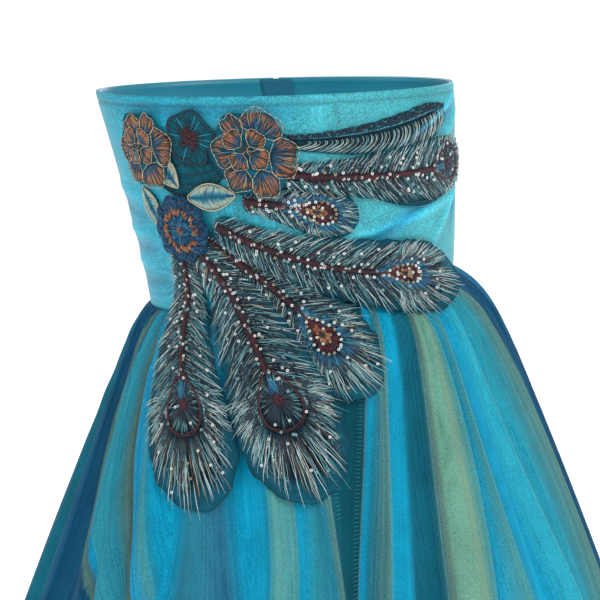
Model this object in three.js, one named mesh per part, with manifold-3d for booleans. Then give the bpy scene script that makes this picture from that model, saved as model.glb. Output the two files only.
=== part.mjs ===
// A strapless mini dress as it is worn: a fitted satin bodice under a layer of net, and a full net skirt
// over a lining, with an embroidered spray of feathers and flowers sewn on the front and a zip at the back.
// Millimetres. +Z is up, the wearer faces -Y, and the origin is the centre of the waistline.
import * as THREE from 'three';
import { mergeVertices } from 'three/addons/utils/BufferGeometryUtils.js';
import Module from 'manifold-3d';

const wasm = await Module();
wasm.setup();

// Driving sizes.
const waistHalfWidth = 127.5;
const waistFront = 96;
const waistBack = 84;
const topRise = 166;
const skirtLength = 450;
const waistTilt = 15; // the waistline is this much higher at the wearer's left than at the centre
const topTilt = 4;
const topLean = -22.5; // the top edge sits this far towards the wearer's right
const topExtra = { width: 20, front: 12, back: 6 }; // of the top edge over the waistline
const bustSwell = 12;
const seamGap = 0.3;
const satinWall = 1.4;
const netWall = 1.0;
const layerPitch = 2.8; // between skirt layers, measured across, at the waist
const zipHalfWidth = 2.2; // of the channel for the zip's chain

// The skirt's outline: a flare that eases towards the hem and a quick spring of gathers just below the waist,
// which is fuller at the wearer's left.
const flareSlope = 0.45;
const flareEasing = 0.00012;
const spring = { out: 14.5, leftExtra: 9.5, length: 12, leftLength: 5 };

const degrees = Math.PI / 180;
const sideSeam = 90;
const centreBack = 180;
// The degrees that a distance round the waist takes up.
const asAngle = (across) => across / (waistHalfWidth * degrees);
const outwardAt = (angle) => new THREE.Vector3(Math.sin(angle), -Math.cos(angle), 0);
const waistHeight = (angle) => waistTilt * Math.sin(angle);

// A point on the bodice's outer face: angle is round from centre front, and share is 0 at the waist and 1 at
// the top.
function bodicePoint(angle, share) {
  const rise = Math.min(Math.max(share, 0), 1);
  const facing = Math.cos(angle);
  const front = waistFront + topExtra.front * rise + bustSwell * Math.sin(Math.PI * rise) ** 1.5;
  const back = waistBack + topExtra.back * rise;
  const halfWidth = waistHalfWidth + topExtra.width * rise ** 1.1;
  return new THREE.Vector3(
    topLean * rise ** 1.3 + halfWidth * Math.sin(angle),
    -(facing > 0 ? front : back) * facing,
    (1 - rise) * waistHeight(angle) + rise * (topRise + topTilt * Math.sin(angle)),
  );
}

// How far the skirt stands out from the waistline at a drop below it.
function flare(drop, angle) {
  const left = Math.sin(angle);
  const gathers = (spring.out + spring.leftExtra * left)
    * (1 - Math.exp(-drop / (spring.length + spring.leftLength * left)));
  return flareSlope * drop - flareEasing * drop * drop + gathers;
}

// The waistline moved out level by a distance and down by a drop.
function belowWaist(angle, drop, out) {
  const facing = Math.cos(angle);
  return new THREE.Vector3(
    (waistHalfWidth + out) * Math.sin(angle),
    -((facing > 0 ? waistFront : waistBack) + out) * facing,
    waistHeight(angle) - drop,
  );
}

// The crests of the folds in the outer net, in degrees from centre front at the waist and at the hem, and the
// depth at the hem of the trough that follows each. The first of each table is a seam, and so is the one at
// the centre back.
const frontFolds = [
  { waist: -68, hem: -48, trough: 10 },
  { waist: -61, hem: -42, trough: 16 },
  { waist: -53, hem: -31, trough: 26 },
  { waist: -33, hem: -19, trough: 24 },
  { waist: -12, hem: -4, trough: 12 },
  { waist: 3, hem: 8, trough: 36 },
  { waist: 26, hem: 16, trough: 34 },
  { waist: 36, hem: 33, trough: 10 },
  { waist: 44, hem: 48, trough: 30 },
  { waist: 58, hem: 65, trough: 16 },
  { waist: 69, hem: 78, trough: 12 },
];
const backFolds = [
  { waist: 78, hem: 88, trough: 22 },
  { waist: 92, hem: 98, trough: 28 },
  { waist: 105, hem: 110, trough: 18 },
  { waist: 119, hem: 122, trough: 32 },
  { waist: 133, hem: 136, trough: 20 },
  { waist: 147, hem: 149, trough: 30 },
  { waist: 163, hem: 165, trough: 20 },
  { waist: centreBack, hem: centreBack, trough: 22 },
  { waist: 195, hem: 197, trough: 30 },
  { waist: 208, hem: 212, trough: 18 },
  { waist: 221, hem: 228, trough: 34 },
  { waist: 235, hem: 244, trough: 20 },
  { waist: 249, hem: 262, trough: 30 },
  { waist: 263, hem: 279, trough: 22 },
  { waist: 278, hem: 296, trough: 18 },
];
const outerFolds = [...frontFolds, ...backFolds];
const backSeam = outerFolds.findIndex((fold) => fold.waist === centreBack);

// The inner net's crests are spaced all round, a little uneven in place and in depth.
const innerFoldCount = 24;
const innerFolds = Array.from({ length: innerFoldCount }, (_, i) => {
  const crest = -centreBack + (i * 360) / innerFoldCount + 3 * Math.sin(2.4 * i);
  return { waist: crest, hem: crest, trough: 26 + 8 * Math.sin(1.7 * i) };
});

// How far a fold line has turned from its place at the waist to its place at the hem; fall is 0 to 1.
const driftRate = 3;
const drift = (fall) => (1 - Math.exp(-driftRate * fall)) / (1 - Math.exp(-driftRate));
const crestAngle = (fold, fall) => fold.waist + (fold.hem - fold.waist) * drift(fall);

// How much of its depth at the hem a fold has reached at a fall.
const deepening = (fall) => fall ** 0.75;

// How deep a net's folds are at an angle and a fall.
function foldDepth(folds, angle, fall) {
  const crests = folds.map((fold) => crestAngle(fold, fall) * degrees);
  const fullTurn = 2 * Math.PI;
  const turned = crests[0] + ((((angle - crests[0]) % fullTurn) + fullTurn) % fullTurn);
  const next = crests.findIndex((crest) => crest > turned);
  const last = next < 0 ? folds.length - 1 : next - 1;
  const end = next < 0 ? crests[0] + fullTurn : crests[next];
  const share = (turned - crests[last]) / (end - crests[last]);
  return folds[last].trough * deepening(fall) * Math.sin(Math.PI * share) ** 2;
}

// The larger of two depths, with the corner where they cross rounded off, the more so the further down.
function softLargest(a, b, fall) {
  const softness = 0.01 + 2.5 * deepening(fall);
  return softness * Math.log(Math.exp(a / softness) + Math.exp(b / softness));
}

// How far inside the skirt's outline each layer lies. The inner net hangs clear of the outer one, and the
// lining hangs inside the deepest trough of both with a few soft waves.
const innerEase = 8;
const innerSlack = 14;
const liningEase = 66;
const liningWave = { count: 9, depth: 5, turn: 2 };
const outerInset = (angle, fall) => foldDepth(outerFolds, angle, fall);
const innerInset = (angle, fall) => {
  const ownDepth = innerSlack * fall + foldDepth(innerFolds, angle, fall);
  return layerPitch + innerEase * fall + softLargest(outerInset(angle, fall), ownDepth, fall);
};
const liningInset = (angle, fall) => {
  const wave = liningWave.depth * (1 + Math.sin(liningWave.count * angle + liningWave.turn));
  return 2 * layerPitch + liningEase * deepening(fall) + wave * fall;
};

// The outer face of a skirt layer; rise runs from 1 at the waist to 0 at the hem, which is level.
const skirtLayer = (inset) => (angle, rise) => {
  const fall = Math.max(1 - rise, 0);
  const drop = seamGap + fall * (skirtLength + waistHeight(angle) - seamGap);
  return belowWaist(angle, drop, flare(drop, angle) - inset(angle, fall));
};

// A point of a face moved out along the face's own normal.
function lifted(face, a, b, lift, step) {
  const alongA = face(a + step.a, b).sub(face(a - step.a, b));
  const alongB = face(a, b + step.b).sub(face(a, b - step.b));
  const normal = alongA.cross(alongB).normalize();
  return face(a, b).addScaledVector(normal, lift);
}

// Steps for the slopes of a face in an angle and a share, in an angle and a height, and in two distances.
const shareStep = { a: 0.004, b: 0.002 };
const heightStep = { a: 0.004, b: 0.5 };
const flatStep = { a: 0.5, b: 0.5 };

const evenShares = (count) => Array.from({ length: count + 1 }, (_, i) => i / count);

// A closed wall between two lifts of a face. at(u, v) gives the face's own two coordinates for a share u
// across the panel and a share v up it.
function clothWall({ face, step, at, columns, rows, inner, outer }) {
  const wide = columns.length;
  const tall = rows.length;
  const points = [outer, inner].flatMap((lift) => rows.flatMap((v) => columns.flatMap((u) => {
    const [a, b] = at(u, v);
    return lifted(face, a, b, lift, step).toArray();
  })));
  const corner = (side, i, j) => (side * tall + j) * wide + i;
  const outerAt = (i, j) => corner(0, i, j);
  const innerAt = (i, j) => corner(1, i, j);
  const faces = [];
  const quad = (p, q, r, s) => faces.push(p, q, r, p, r, s);
  for (let j = 0; j < tall - 1; j += 1) {
    for (let i = 0; i < wide - 1; i += 1) {
      quad(outerAt(i, j), outerAt(i + 1, j), outerAt(i + 1, j + 1), outerAt(i, j + 1));
      quad(innerAt(i, j), innerAt(i, j + 1), innerAt(i + 1, j + 1), innerAt(i + 1, j));
    }
  }
  const top = tall - 1;
  for (let i = 0; i < wide - 1; i += 1) {
    quad(innerAt(i, 0), innerAt(i + 1, 0), outerAt(i + 1, 0), outerAt(i, 0));
    quad(outerAt(i, top), outerAt(i + 1, top), innerAt(i + 1, top), innerAt(i, top));
  }
  // The two ends are split along like diagonals, so that panels that meet keep their gap.
  const end = wide - 1;
  for (let j = 0; j < tall - 1; j += 1) {
    quad(outerAt(0, j), outerAt(0, j + 1), innerAt(0, j + 1), innerAt(0, j));
    quad(innerAt(end, j + 1), outerAt(end, j + 1), outerAt(end, j), innerAt(end, j));
  }
  const geometry = new THREE.BufferGeometry();
  geometry.setAttribute('position', new THREE.Float32BufferAttribute(points, 3));
  geometry.setIndex(faces);
  return geometry;
}

const garment = new THREE.Group();
function addMesh(name, geometry, finish) {
  const mesh = new THREE.Mesh(geometry, new THREE.MeshStandardMaterial(finish));
  mesh.name = name;
  garment.add(mesh);
  return mesh;
}

const satin = { color: 0x159fb8, roughness: 0.35, metalness: 0 };
const aquaNet = { color: 0x4fb9c2, roughness: 0.6, metalness: 0 };
const sageNet = { color: 0x7fb39a, roughness: 0.65, metalness: 0 };
const blueNet = { color: 0x0f5f86, roughness: 0.65, metalness: 0 };
const turquoiseNet = { color: 0x12a6cf, roughness: 0.6, metalness: 0 };
const liningCloth = { color: 0x0d7ea3, roughness: 0.45, metalness: 0 };
const motifNet = { color: 0x1d5f6c, roughness: 0.7, metalness: 0.1 };
const blossomThread = { color: 0xa8653a, roughness: 0.5, metalness: 0.1 };
const leafThread = { color: 0x4aa7b5, roughness: 0.5, metalness: 0.1 };
const zipCloth = { color: 0x168fae, roughness: 0.6, metalness: 0 };
const zipMetal = { color: 0xb9bcc0, roughness: 0.3, metalness: 0.9 };

const seamTrim = asAngle(seamGap / 2);
const zipTrim = asAngle(zipHalfWidth);

// The bodice: a satin front and two backs, each under its own net, open at the centre back for the zip.
const bodiceRows = [0, 0.2, 0.5, 0.8, 1];
const bodicePanels = [
  { name: 'front', from: -sideSeam + seamTrim, to: sideSeam - seamTrim, columns: 18 },
  { name: 'back_left', from: sideSeam + seamTrim, to: centreBack - zipTrim, columns: 8 },
  { name: 'back_right', from: centreBack + zipTrim, to: 360 - sideSeam - seamTrim, columns: 8 },
];
for (const { name, from, to, columns } of bodicePanels) {
  const panel = {
    face: bodicePoint,
    step: shareStep,
    at: (u, v) => [(from + (to - from) * u) * degrees, v],
    columns: evenShares(columns),
    rows: bodiceRows,
  };
  const satinFace = -netWall - seamGap;
  addMesh(`bodice_${name}`, clothWall({ ...panel, inner: satinFace - satinWall, outer: satinFace }), satin);
  addMesh(`bodice_net_${name}`, clothWall({ ...panel, inner: -netWall, outer: 0 }), aquaNet);
}

// The skirt's rows, from the hem at 0 to the waist at 1. Both nets have a column at every crest of the outer
// one and at the quarters between, so that they stay clear of each other.
const zipFootRow = 0.83;
const skirtRows = [0, 0.33, 0.64, zipFootRow, 0.955, 1];
const columnsPerFold = 4;

function netPanel(inset, first, last) {
  const folds = last - first;
  const at = (u, v) => {
    const column = Math.round(u * folds * columnsPerFold);
    const fold = Math.min(first + Math.floor(column / columnsPerFold), last - 1);
    const share = column / columnsPerFold - (fold - first);
    const fall = 1 - v;
    const following = (fold + 1) % outerFolds.length;
    const from = crestAngle(outerFolds[fold], fall);
    const to = crestAngle(outerFolds[following], fall) + (following === 0 ? 360 : 0);
    const trim = { 0: seamTrim, 1: -seamTrim }[u] ?? 0;
    return [(from + (to - from) * share + trim) * degrees, v];
  };
  return clothWall({
    face: skirtLayer(inset),
    step: shareStep,
    at,
    columns: evenShares(folds * columnsPerFold),
    rows: skirtRows,
    inner: -netWall,
    outer: 0,
  });
}

const netPanels = [
  { name: 'front', first: 0, last: frontFolds.length, finish: sageNet },
  { name: 'back_left', first: frontFolds.length, last: backSeam, finish: blueNet },
  { name: 'back_right', first: backSeam, last: outerFolds.length, finish: blueNet },
];
for (const { name, first, last, finish } of netPanels) {
  addMesh(`skirt_net_${name}`, netPanel(outerInset, first, last), finish);
  addMesh(`skirt_inner_net_${name}`, netPanel(innerInset, first, last), turquoiseNet);
}

// The lining's two backs leave a channel for the zip, which closes below the zip's foot.
const liningPanels = [
  { name: 'front_right', from: -sideSeam, to: 0 },
  { name: 'front_left', from: 0, to: sideSeam },
  { name: 'back_left', from: sideSeam, to: centreBack },
  { name: 'back_right', from: centreBack, to: 360 - sideSeam },
];
for (const { name, from, to } of liningPanels) {
  const trimAt = (edge, v) => (edge === centreBack && v >= zipFootRow ? zipTrim : seamTrim);
  const at = (u, v) => {
    const low = from + trimAt(from, v);
    const high = to - trimAt(to, v);
    return [(low + (high - low) * u) * degrees, v];
  };
  const geometry = clothWall({
    face: skirtLayer(liningInset),
    step: shareStep,
    at,
    columns: evenShares(10),
    rows: skirtRows,
    inner: -netWall,
    outer: 0,
  });
  addMesh(`skirt_lining_${name}`, geometry, liningCloth);
}

// The face that the zip follows: inside the bodice's backs, and below the waist the outer face of the lining.
const zipDepth = 1.7;
const zipBendLength = 8;
const zipTop = 160;
const skirtRowHeight = (row) => -seamGap - (1 - row) * (skirtLength - seamGap);
function zipPoint(angle, height) {
  const row = 1 + (height + seamGap) / (skirtLength - seamGap);
  if (row < 1) return skirtLayer(liningInset)(angle, row);
  const bend = Math.exp(-Math.max(height, 0) / zipBendLength);
  const inset = zipDepth + (2 * layerPitch - zipDepth) * bend;
  return bodicePoint(angle, height / topRise).addScaledVector(outwardAt(angle), -inset);
}
const zipRowsBelowWaist = skirtRows.filter((row) => row >= zipFootRow && row < 1).map(skirtRowHeight);
const zipRowsAboveWaist = [0, zipBendLength, 3 * zipBendLength, 60, 103, 139, zipTop];
const zipHeights = [...zipRowsBelowWaist, ...zipRowsAboveWaist];
function zipStrip(halfWidth, inner, outer) {
  const half = asAngle(halfWidth);
  const foot = zipHeights[0];
  const span = zipTop - foot;
  return clothWall({
    face: zipPoint,
    step: heightStep,
    at: (u, v) => [(centreBack + half * (2 * u - 1)) * degrees, foot + v * span],
    columns: evenShares(2),
    rows: zipHeights.map((height) => (height - foot) / span),
    inner,
    outer,
  });
}
const tapeHalfWidth = 12;
const tapeLift = -1.7; // of the tape's outer face from the face that the zip follows
const chainLift = -0.1;
addMesh('zip_tape', zipStrip(tapeHalfWidth, tapeLift - netWall, tapeLift), zipCloth);
addMesh('zip_chain', zipStrip(zipHalfWidth - seamGap, tapeLift + seamGap, chainLift), zipCloth);

// The slider stands closed near the top, with its body in the channel and its plate on the bodice.
const sliderRise = 0.92;
const sliderPlate = { width: 6, height: 10, thickness: 1.4 };
const sliderBody = { width: 3, height: 5, depth: 1.7 };
const bail = { width: 1.6, height: 6.4, reach: 3.5, bar: 1.3 };
const pullHinge = 2.5; // from the back of the slider's plate to the pull's axis
const pull = { width: 6.4, topWidth: 4.5, length: 26, thickness: 1.2 };
const pullSlot = { start: 0.6, end: 5.6, width: 2.4 }; // down from the pull's axis
const sliderPlace = bodicePoint(centreBack * degrees, sliderRise).add(new THREE.Vector3(0, seamGap, 0));
const pullPlace = sliderPlace.clone().add(new THREE.Vector3(0, pullHinge, 0));

function toSolid(geometry) {
  geometry.deleteAttribute('normal');
  geometry.deleteAttribute('uv');
  const merged = mergeVertices(geometry);
  return new wasm.Manifold(new wasm.Mesh({
    numProp: 3,
    vertProperties: merged.attributes.position.array,
    triVerts: new Uint32Array(merged.index.array),
  }));
}

function toGeometry(solid) {
  const made = solid.getMesh();
  const geometry = new THREE.BufferGeometry();
  geometry.setAttribute('position', new THREE.BufferAttribute(made.vertProperties, 3));
  geometry.setIndex(new THREE.BufferAttribute(made.triVerts, 1));
  return geometry;
}

// The corners of an upright rectangle in an outline's own x and y.
const rectangle = (left, right, low, high) => [
  new THREE.Vector2(left, low), new THREE.Vector2(right, low),
  new THREE.Vector2(right, high), new THREE.Vector2(left, high),
];

// An outline thickened about its middle and turned so that its x, y and thickness lie along three axes.
function plateFrom(outline, thickness, alongX, alongY, alongThickness) {
  const settings = { depth: thickness, bevelEnabled: false, curveSegments: 8 };
  const plate = new THREE.ExtrudeGeometry(outline, settings);
  plate.translate(0, 0, -thickness / 2);
  plate.applyMatrix4(new THREE.Matrix4().makeBasis(alongX, alongY, alongThickness));
  return plate;
}
const axisX = new THREE.Vector3(1, 0, 0);
const axisY = new THREE.Vector3(0, 1, 0);
const axisZ = new THREE.Vector3(0, 0, 1);

// A plate with a body behind it and a square bail standing on its outer face.
function sliderGeometry() {
  const { width, height, thickness } = sliderPlate;
  const plate = new THREE.BoxGeometry(width, thickness, height).translate(0, thickness / 2, 0);
  const body = new THREE.BoxGeometry(sliderBody.width, sliderBody.depth + thickness / 2, sliderBody.height);
  body.translate(0, (thickness / 2 - sliderBody.depth) / 2, 0);
  const half = bail.height / 2;
  const open = half - bail.bar;
  const reach = thickness + bail.reach;
  const outline = new THREE.Shape(rectangle(-half, half, thickness / 2, reach));
  outline.holes.push(new THREE.Path(rectangle(-open, open, thickness, reach - bail.bar)));
  const loop = plateFrom(outline, bail.width, axisZ, axisY, axisX.clone().negate());
  return toGeometry(toSolid(plate).add(toSolid(body)).add(toSolid(loop)));
}

// A drop-shaped plate with a slot at its top, through which the bail passes.
function pullGeometry() {
  const half = pull.width / 2;
  const slot = pullSlot.width / 2;
  const outline = new THREE.Shape();
  outline.moveTo(-pull.topWidth / 2, pullSlot.start);
  outline.lineTo(-half, -pull.length + half);
  outline.absarc(0, -pull.length + half, half, Math.PI, 2 * Math.PI, false);
  outline.lineTo(pull.topWidth / 2, pullSlot.start);
  outline.holes.push(new THREE.Path(rectangle(-slot, slot, -pullSlot.end, -pullSlot.start)));
  return plateFrom(outline, pull.thickness, axisX.clone().negate(), axisZ, axisY);
}

addMesh('zip_slider', sliderGeometry(), zipMetal).position.copy(sliderPlace);
addMesh('zip_pull', pullGeometry(), zipMetal).position.copy(pullPlace);

// How far the embroidery's face stands out from the waistline where it bridges the gathers: nothing at the
// bridge's top, and the skirt's own outline from its foot down.
const bridgeTop = 28;
const bridgeFoot = 30;
function bridgeOut(height, angle) {
  const span = bridgeTop + bridgeFoot;
  const share = (bridgeTop - height) / span;
  if (share <= 0) return 0;
  if (share >= 1) return flare(-height, angle);
  const end = flare(bridgeFoot, angle);
  const endSlope = (flare(bridgeFoot + 1, angle) - end) * span;
  const bridge = end * (3 * share ** 2 - 2 * share ** 3) + endSlope * (share ** 3 - share ** 2);
  return height < 0 ? Math.max(bridge, flare(-height, angle)) : bridge;
}

// The smooth face that the embroidery is sewn to: across is the distance round from centre front, and height
// is up from the waistline.
const sprayWidening = 0.2; // how much further round a distance reaches for each millimetre below the waist
function sprayPoint(across, height) {
  const rise = Math.max(height, 0) / topRise;
  const drop = Math.max(-height, 0);
  const angle = across / (waistHalfWidth + topExtra.width * rise + sprayWidening * drop);
  const out = bridgeOut(height, angle);
  if (height < 0) return belowWaist(angle, drop, out);
  return bodicePoint(angle, rise).addScaledVector(outwardAt(angle), out);
}

// Each patch of the spray lies at a level: 0 is next to the dress, and each one above lies on the last.
const sprayLift = 0.9;
const levelPitch = 1.98;
function addPatch({ name, level, finish }, at, columns, rows) {
  const inner = sprayLift + level * levelPitch;
  const geometry = clothWall({
    face: sprayPoint,
    step: flatStep,
    at,
    columns: evenShares(columns),
    rows: evenShares(rows),
    inner,
    outer: inner + netWall,
  });
  addMesh(name, geometry, finish);
}

// Feathers fan out from the blossoms. A place is across and height, and bow is how far the middle bends.
const feathers = [
  { name: 'feather_1', base: [-4, 132], tip: [166, 146], bow: -9, halfWidth: 15, level: 0 },
  { name: 'feather_2', base: [-10, 108], tip: [192, 104], bow: -7, halfWidth: 24, level: 1 },
  { name: 'feather_3', base: [-36, 88], tip: [52, 66], bow: 3, halfWidth: 20, level: 0 },
  { name: 'feather_4', base: [-62, 72], tip: [146, 6], bow: -12, halfWidth: 30, level: 1 },
  { name: 'feather_5', base: [-72, 60], tip: [46, -66], bow: 9, halfWidth: 28, level: 0 },
  { name: 'feather_6', base: [-82, 56], tip: [8, -138], bow: 12, halfWidth: 33, level: 1 },
  { name: 'feather_7', base: [-98, 56], tip: [-56, -142], bow: -11, halfWidth: 33, level: 0 },
];

// A feather's share of its full width: narrow at the quill, full from the shoulder, and rounded at the tip.
const quillShare = 0.35;
const shoulder = 0.78;
const tipShare = 0.28;
function featherSwell(along) {
  const opening = Math.sin((Math.PI / 2) * Math.min(along / shoulder, 1)) ** 1.5;
  const closing = (Math.max(along - shoulder, 0) / (1 - shoulder)) ** 2;
  return quillShare + (1 - quillShare) * opening - (1 - tipShare) * closing;
}

for (const feather of feathers) {
  const base = new THREE.Vector2(...feather.base);
  const tip = new THREE.Vector2(...feather.tip);
  const forward = tip.clone().sub(base).normalize();
  const aside = new THREE.Vector2(-forward.y, forward.x);
  const middle = base.clone().add(tip).multiplyScalar(0.5).addScaledVector(aside, 2 * feather.bow);
  const spine = new THREE.QuadraticBezierCurve(base, middle, tip);
  const at = (u, v) => {
    const place = spine.getPoint(u);
    const along = spine.getTangent(u);
    const side = (2 * v - 1) * feather.halfWidth * featherSwell(u);
    return [place.x - along.y * side, place.y + along.x * side];
  };
  addPatch({ ...feather, finish: motifNet }, at, 9, 3);
}

// Blossoms and the rosette are round patches with a low lobe for each petal.
const lobe = 0.06;
const blossoms = [
  { name: 'blossom_left', centre: [-117, 128], radius: 29, petals: 6, level: 2, finish: blossomThread },
  { name: 'blossom_right', centre: [-22, 124], radius: 33, petals: 6, level: 2, finish: blossomThread },
  { name: 'blossom_dark', centre: [-70, 136], radius: 22, petals: 5, level: 1, finish: motifNet },
  { name: 'rosette', centre: [-92, 68], radius: 27, petals: 10, level: 2, finish: motifNet },
];
for (const blossom of blossoms) {
  const [middleAcross, middleHeight] = blossom.centre;
  const at = (u, v) => {
    const x = 2 * u - 1;
    const y = 2 * v - 1;
    const roundX = x * Math.sqrt(1 - y ** 2 / 2);
    const roundY = y * Math.sqrt(1 - x ** 2 / 2);
    const reach = blossom.radius * (1 - lobe + lobe * Math.cos(blossom.petals * Math.atan2(roundY, roundX)));
    return [middleAcross + reach * roundX, middleHeight + reach * roundY];
  };
  addPatch(blossom, at, 5, 5);
}

// Leaves narrow to both ends; turn is the direction of the tip in degrees.
const leafEndShare = 0.12;
const leaves = [
  { name: 'leaf_1', base: [-88, 100], length: 30, halfWidth: 9, turn: 128, level: 1, finish: leafThread },
  { name: 'leaf_2', base: [-80, 92], length: 40, halfWidth: 10, turn: 2, level: 1, finish: leafThread },
  { name: 'leaf_3', base: [-132, 98], length: 32, halfWidth: 9, turn: -62, level: 0, finish: leafThread },
  { name: 'leaf_net', base: [66, 84], length: 92, halfWidth: 13, turn: -3, level: 0, finish: motifNet },
  { name: 'leaf_net_left', base: [-126, 114], length: 88, halfWidth: 24, turn: 2, level: 0, finish: motifNet },
];
for (const leaf of leaves) {
  const [baseAcross, baseHeight] = leaf.base;
  const cos = Math.cos(leaf.turn * degrees);
  const sin = Math.sin(leaf.turn * degrees);
  const at = (u, v) => {
    const along = u * leaf.length;
    const side = (2 * v - 1) * leaf.halfWidth * (leafEndShare + (1 - leafEndShare) * Math.sin(Math.PI * u));
    return [baseAcross + along * cos - side * sin, baseHeight + along * sin + side * cos];
  };
  addPatch(leaf, at, 5, 2);
}

export default garment;
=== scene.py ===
# A strapless mini dress in its worn form: a satin bodice under net, a full skirt of shot nets over a lining,
# and an embroidered spray of feathers and flowers. Metres, +Z up, and the wearer faces -Y.
import math
from collections import namedtuple
import bpy
import numpy as np
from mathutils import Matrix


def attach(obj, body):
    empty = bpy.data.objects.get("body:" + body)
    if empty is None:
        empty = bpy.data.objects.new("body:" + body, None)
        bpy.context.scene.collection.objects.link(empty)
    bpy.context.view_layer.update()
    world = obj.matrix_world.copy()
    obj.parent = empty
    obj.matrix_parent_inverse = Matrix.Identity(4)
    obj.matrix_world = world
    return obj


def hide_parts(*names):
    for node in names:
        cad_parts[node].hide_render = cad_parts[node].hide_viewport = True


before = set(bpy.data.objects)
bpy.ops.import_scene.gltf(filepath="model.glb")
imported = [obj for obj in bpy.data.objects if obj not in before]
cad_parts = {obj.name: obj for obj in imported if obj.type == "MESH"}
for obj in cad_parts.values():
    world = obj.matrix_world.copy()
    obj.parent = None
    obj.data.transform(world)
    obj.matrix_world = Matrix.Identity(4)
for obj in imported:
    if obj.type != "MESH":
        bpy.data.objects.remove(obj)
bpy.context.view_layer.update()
draw = np.random.default_rng(11)
print("frame loaded")


# Camera, floor and light
view = {
    "aim": (-0.0013, 0.0, -0.015),
    "distance": 1.35,
    "elevation": math.radians(12),
    "lens": 95.6,
    "sensor": 36.0,
}
studio = {
    "floorHeight": -1.05,  # below the waist of someone who stands
    "floorHalf": 95.0,
    "world": 0.72,
    "horizon": 1.1,  # how bright the sky beyond the floor's edge looks
    "floorGlow": 0.42,
    # name, place, size, power in watts, tint
    "lamps": [
        ("keyLamp", (1.5, -2.2, 2.1), 1.1, 30.0, (1.0, 0.99, 0.97)),
        ("fillLamp", (-2.4, -1.4, 0.7), 2.0, 5.0, (0.95, 0.98, 1.0)),
        ("backLamp", (0.6, 2.6, 1.6), 1.8, 26.0, (1.0, 1.0, 1.0)),
    ],
}


def aimAt(thing, place, target):
    direction = np.array(target, float) - np.array(place, float)
    rise = math.atan2(direction[2], math.hypot(direction[0], direction[1]))
    thing.location = place
    thing.rotation_euler = (math.pi / 2 + rise, 0, math.atan2(-direction[0], direction[1]))


def addCamera():
    camera = bpy.data.objects.new("camera", bpy.data.cameras.new("camera"))
    bpy.context.collection.objects.link(camera)
    camera.data.lens = view["lens"]
    camera.data.sensor_width = view["sensor"]
    camera.data.clip_end = 200
    aim = view["aim"]
    back = view["distance"] * math.cos(view["elevation"])
    up = view["distance"] * math.sin(view["elevation"])
    aimAt(camera, (aim[0], aim[1] - back, aim[2] + up), aim)
    bpy.context.scene.camera = camera


def addLight():
    for name, place, size, power, tint in studio["lamps"]:
        lamp = bpy.data.objects.new(name, bpy.data.lights.new(name, "AREA"))
        bpy.context.collection.objects.link(lamp)
        lamp.data.shape = "DISK"
        lamp.data.size = size
        lamp.data.energy = power
        lamp.data.color = tint
        aimAt(lamp, place, (0, 0, 0))
    world = bpy.data.worlds.new("studio")
    world.use_nodes = True
    world.node_tree.nodes["Background"].inputs["Color"].default_value = (1, 1, 1, 1)
    # The sky looks as white as the floor, and lights the dress no more for that.
    sight = world.node_tree.nodes.new("ShaderNodeLightPath")
    strength = world.node_tree.nodes.new("ShaderNodeMapRange")
    strength.inputs["To Min"].default_value = studio["world"]
    strength.inputs["To Max"].default_value = studio["horizon"]
    world.node_tree.links.new(sight.outputs["Is Camera Ray"], strength.inputs["Value"])
    world.node_tree.links.new(strength.outputs[0], world.node_tree.nodes["Background"].inputs["Strength"])
    bpy.context.scene.world = world
    bpy.context.scene.view_settings.view_transform = "Standard"


def linear(red, green, blue):
    # An 8-bit screen colour as scene-linear numbers.
    shares = np.array([red, green, blue]) / 255
    return tuple(np.where(shares < 0.04045, shares / 12.92, ((shares + 0.055) / 1.055) ** 2.4).tolist())


# Shader building
class Signal:
    # A socket whose arithmetic adds Math nodes.
    def __init__(self, finish, socket):
        self.finish = finish
        self.socket = socket

    def __add__(self, other):
        return self.finish.math("ADD", self, other)

    def __sub__(self, other):
        return self.finish.math("SUBTRACT", self, other)

    def __rsub__(self, other):
        return self.finish.math("SUBTRACT", other, self)

    def __mul__(self, other):
        return self.finish.math("MULTIPLY", self, other)

    __radd__ = __add__
    __rmul__ = __mul__


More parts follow.
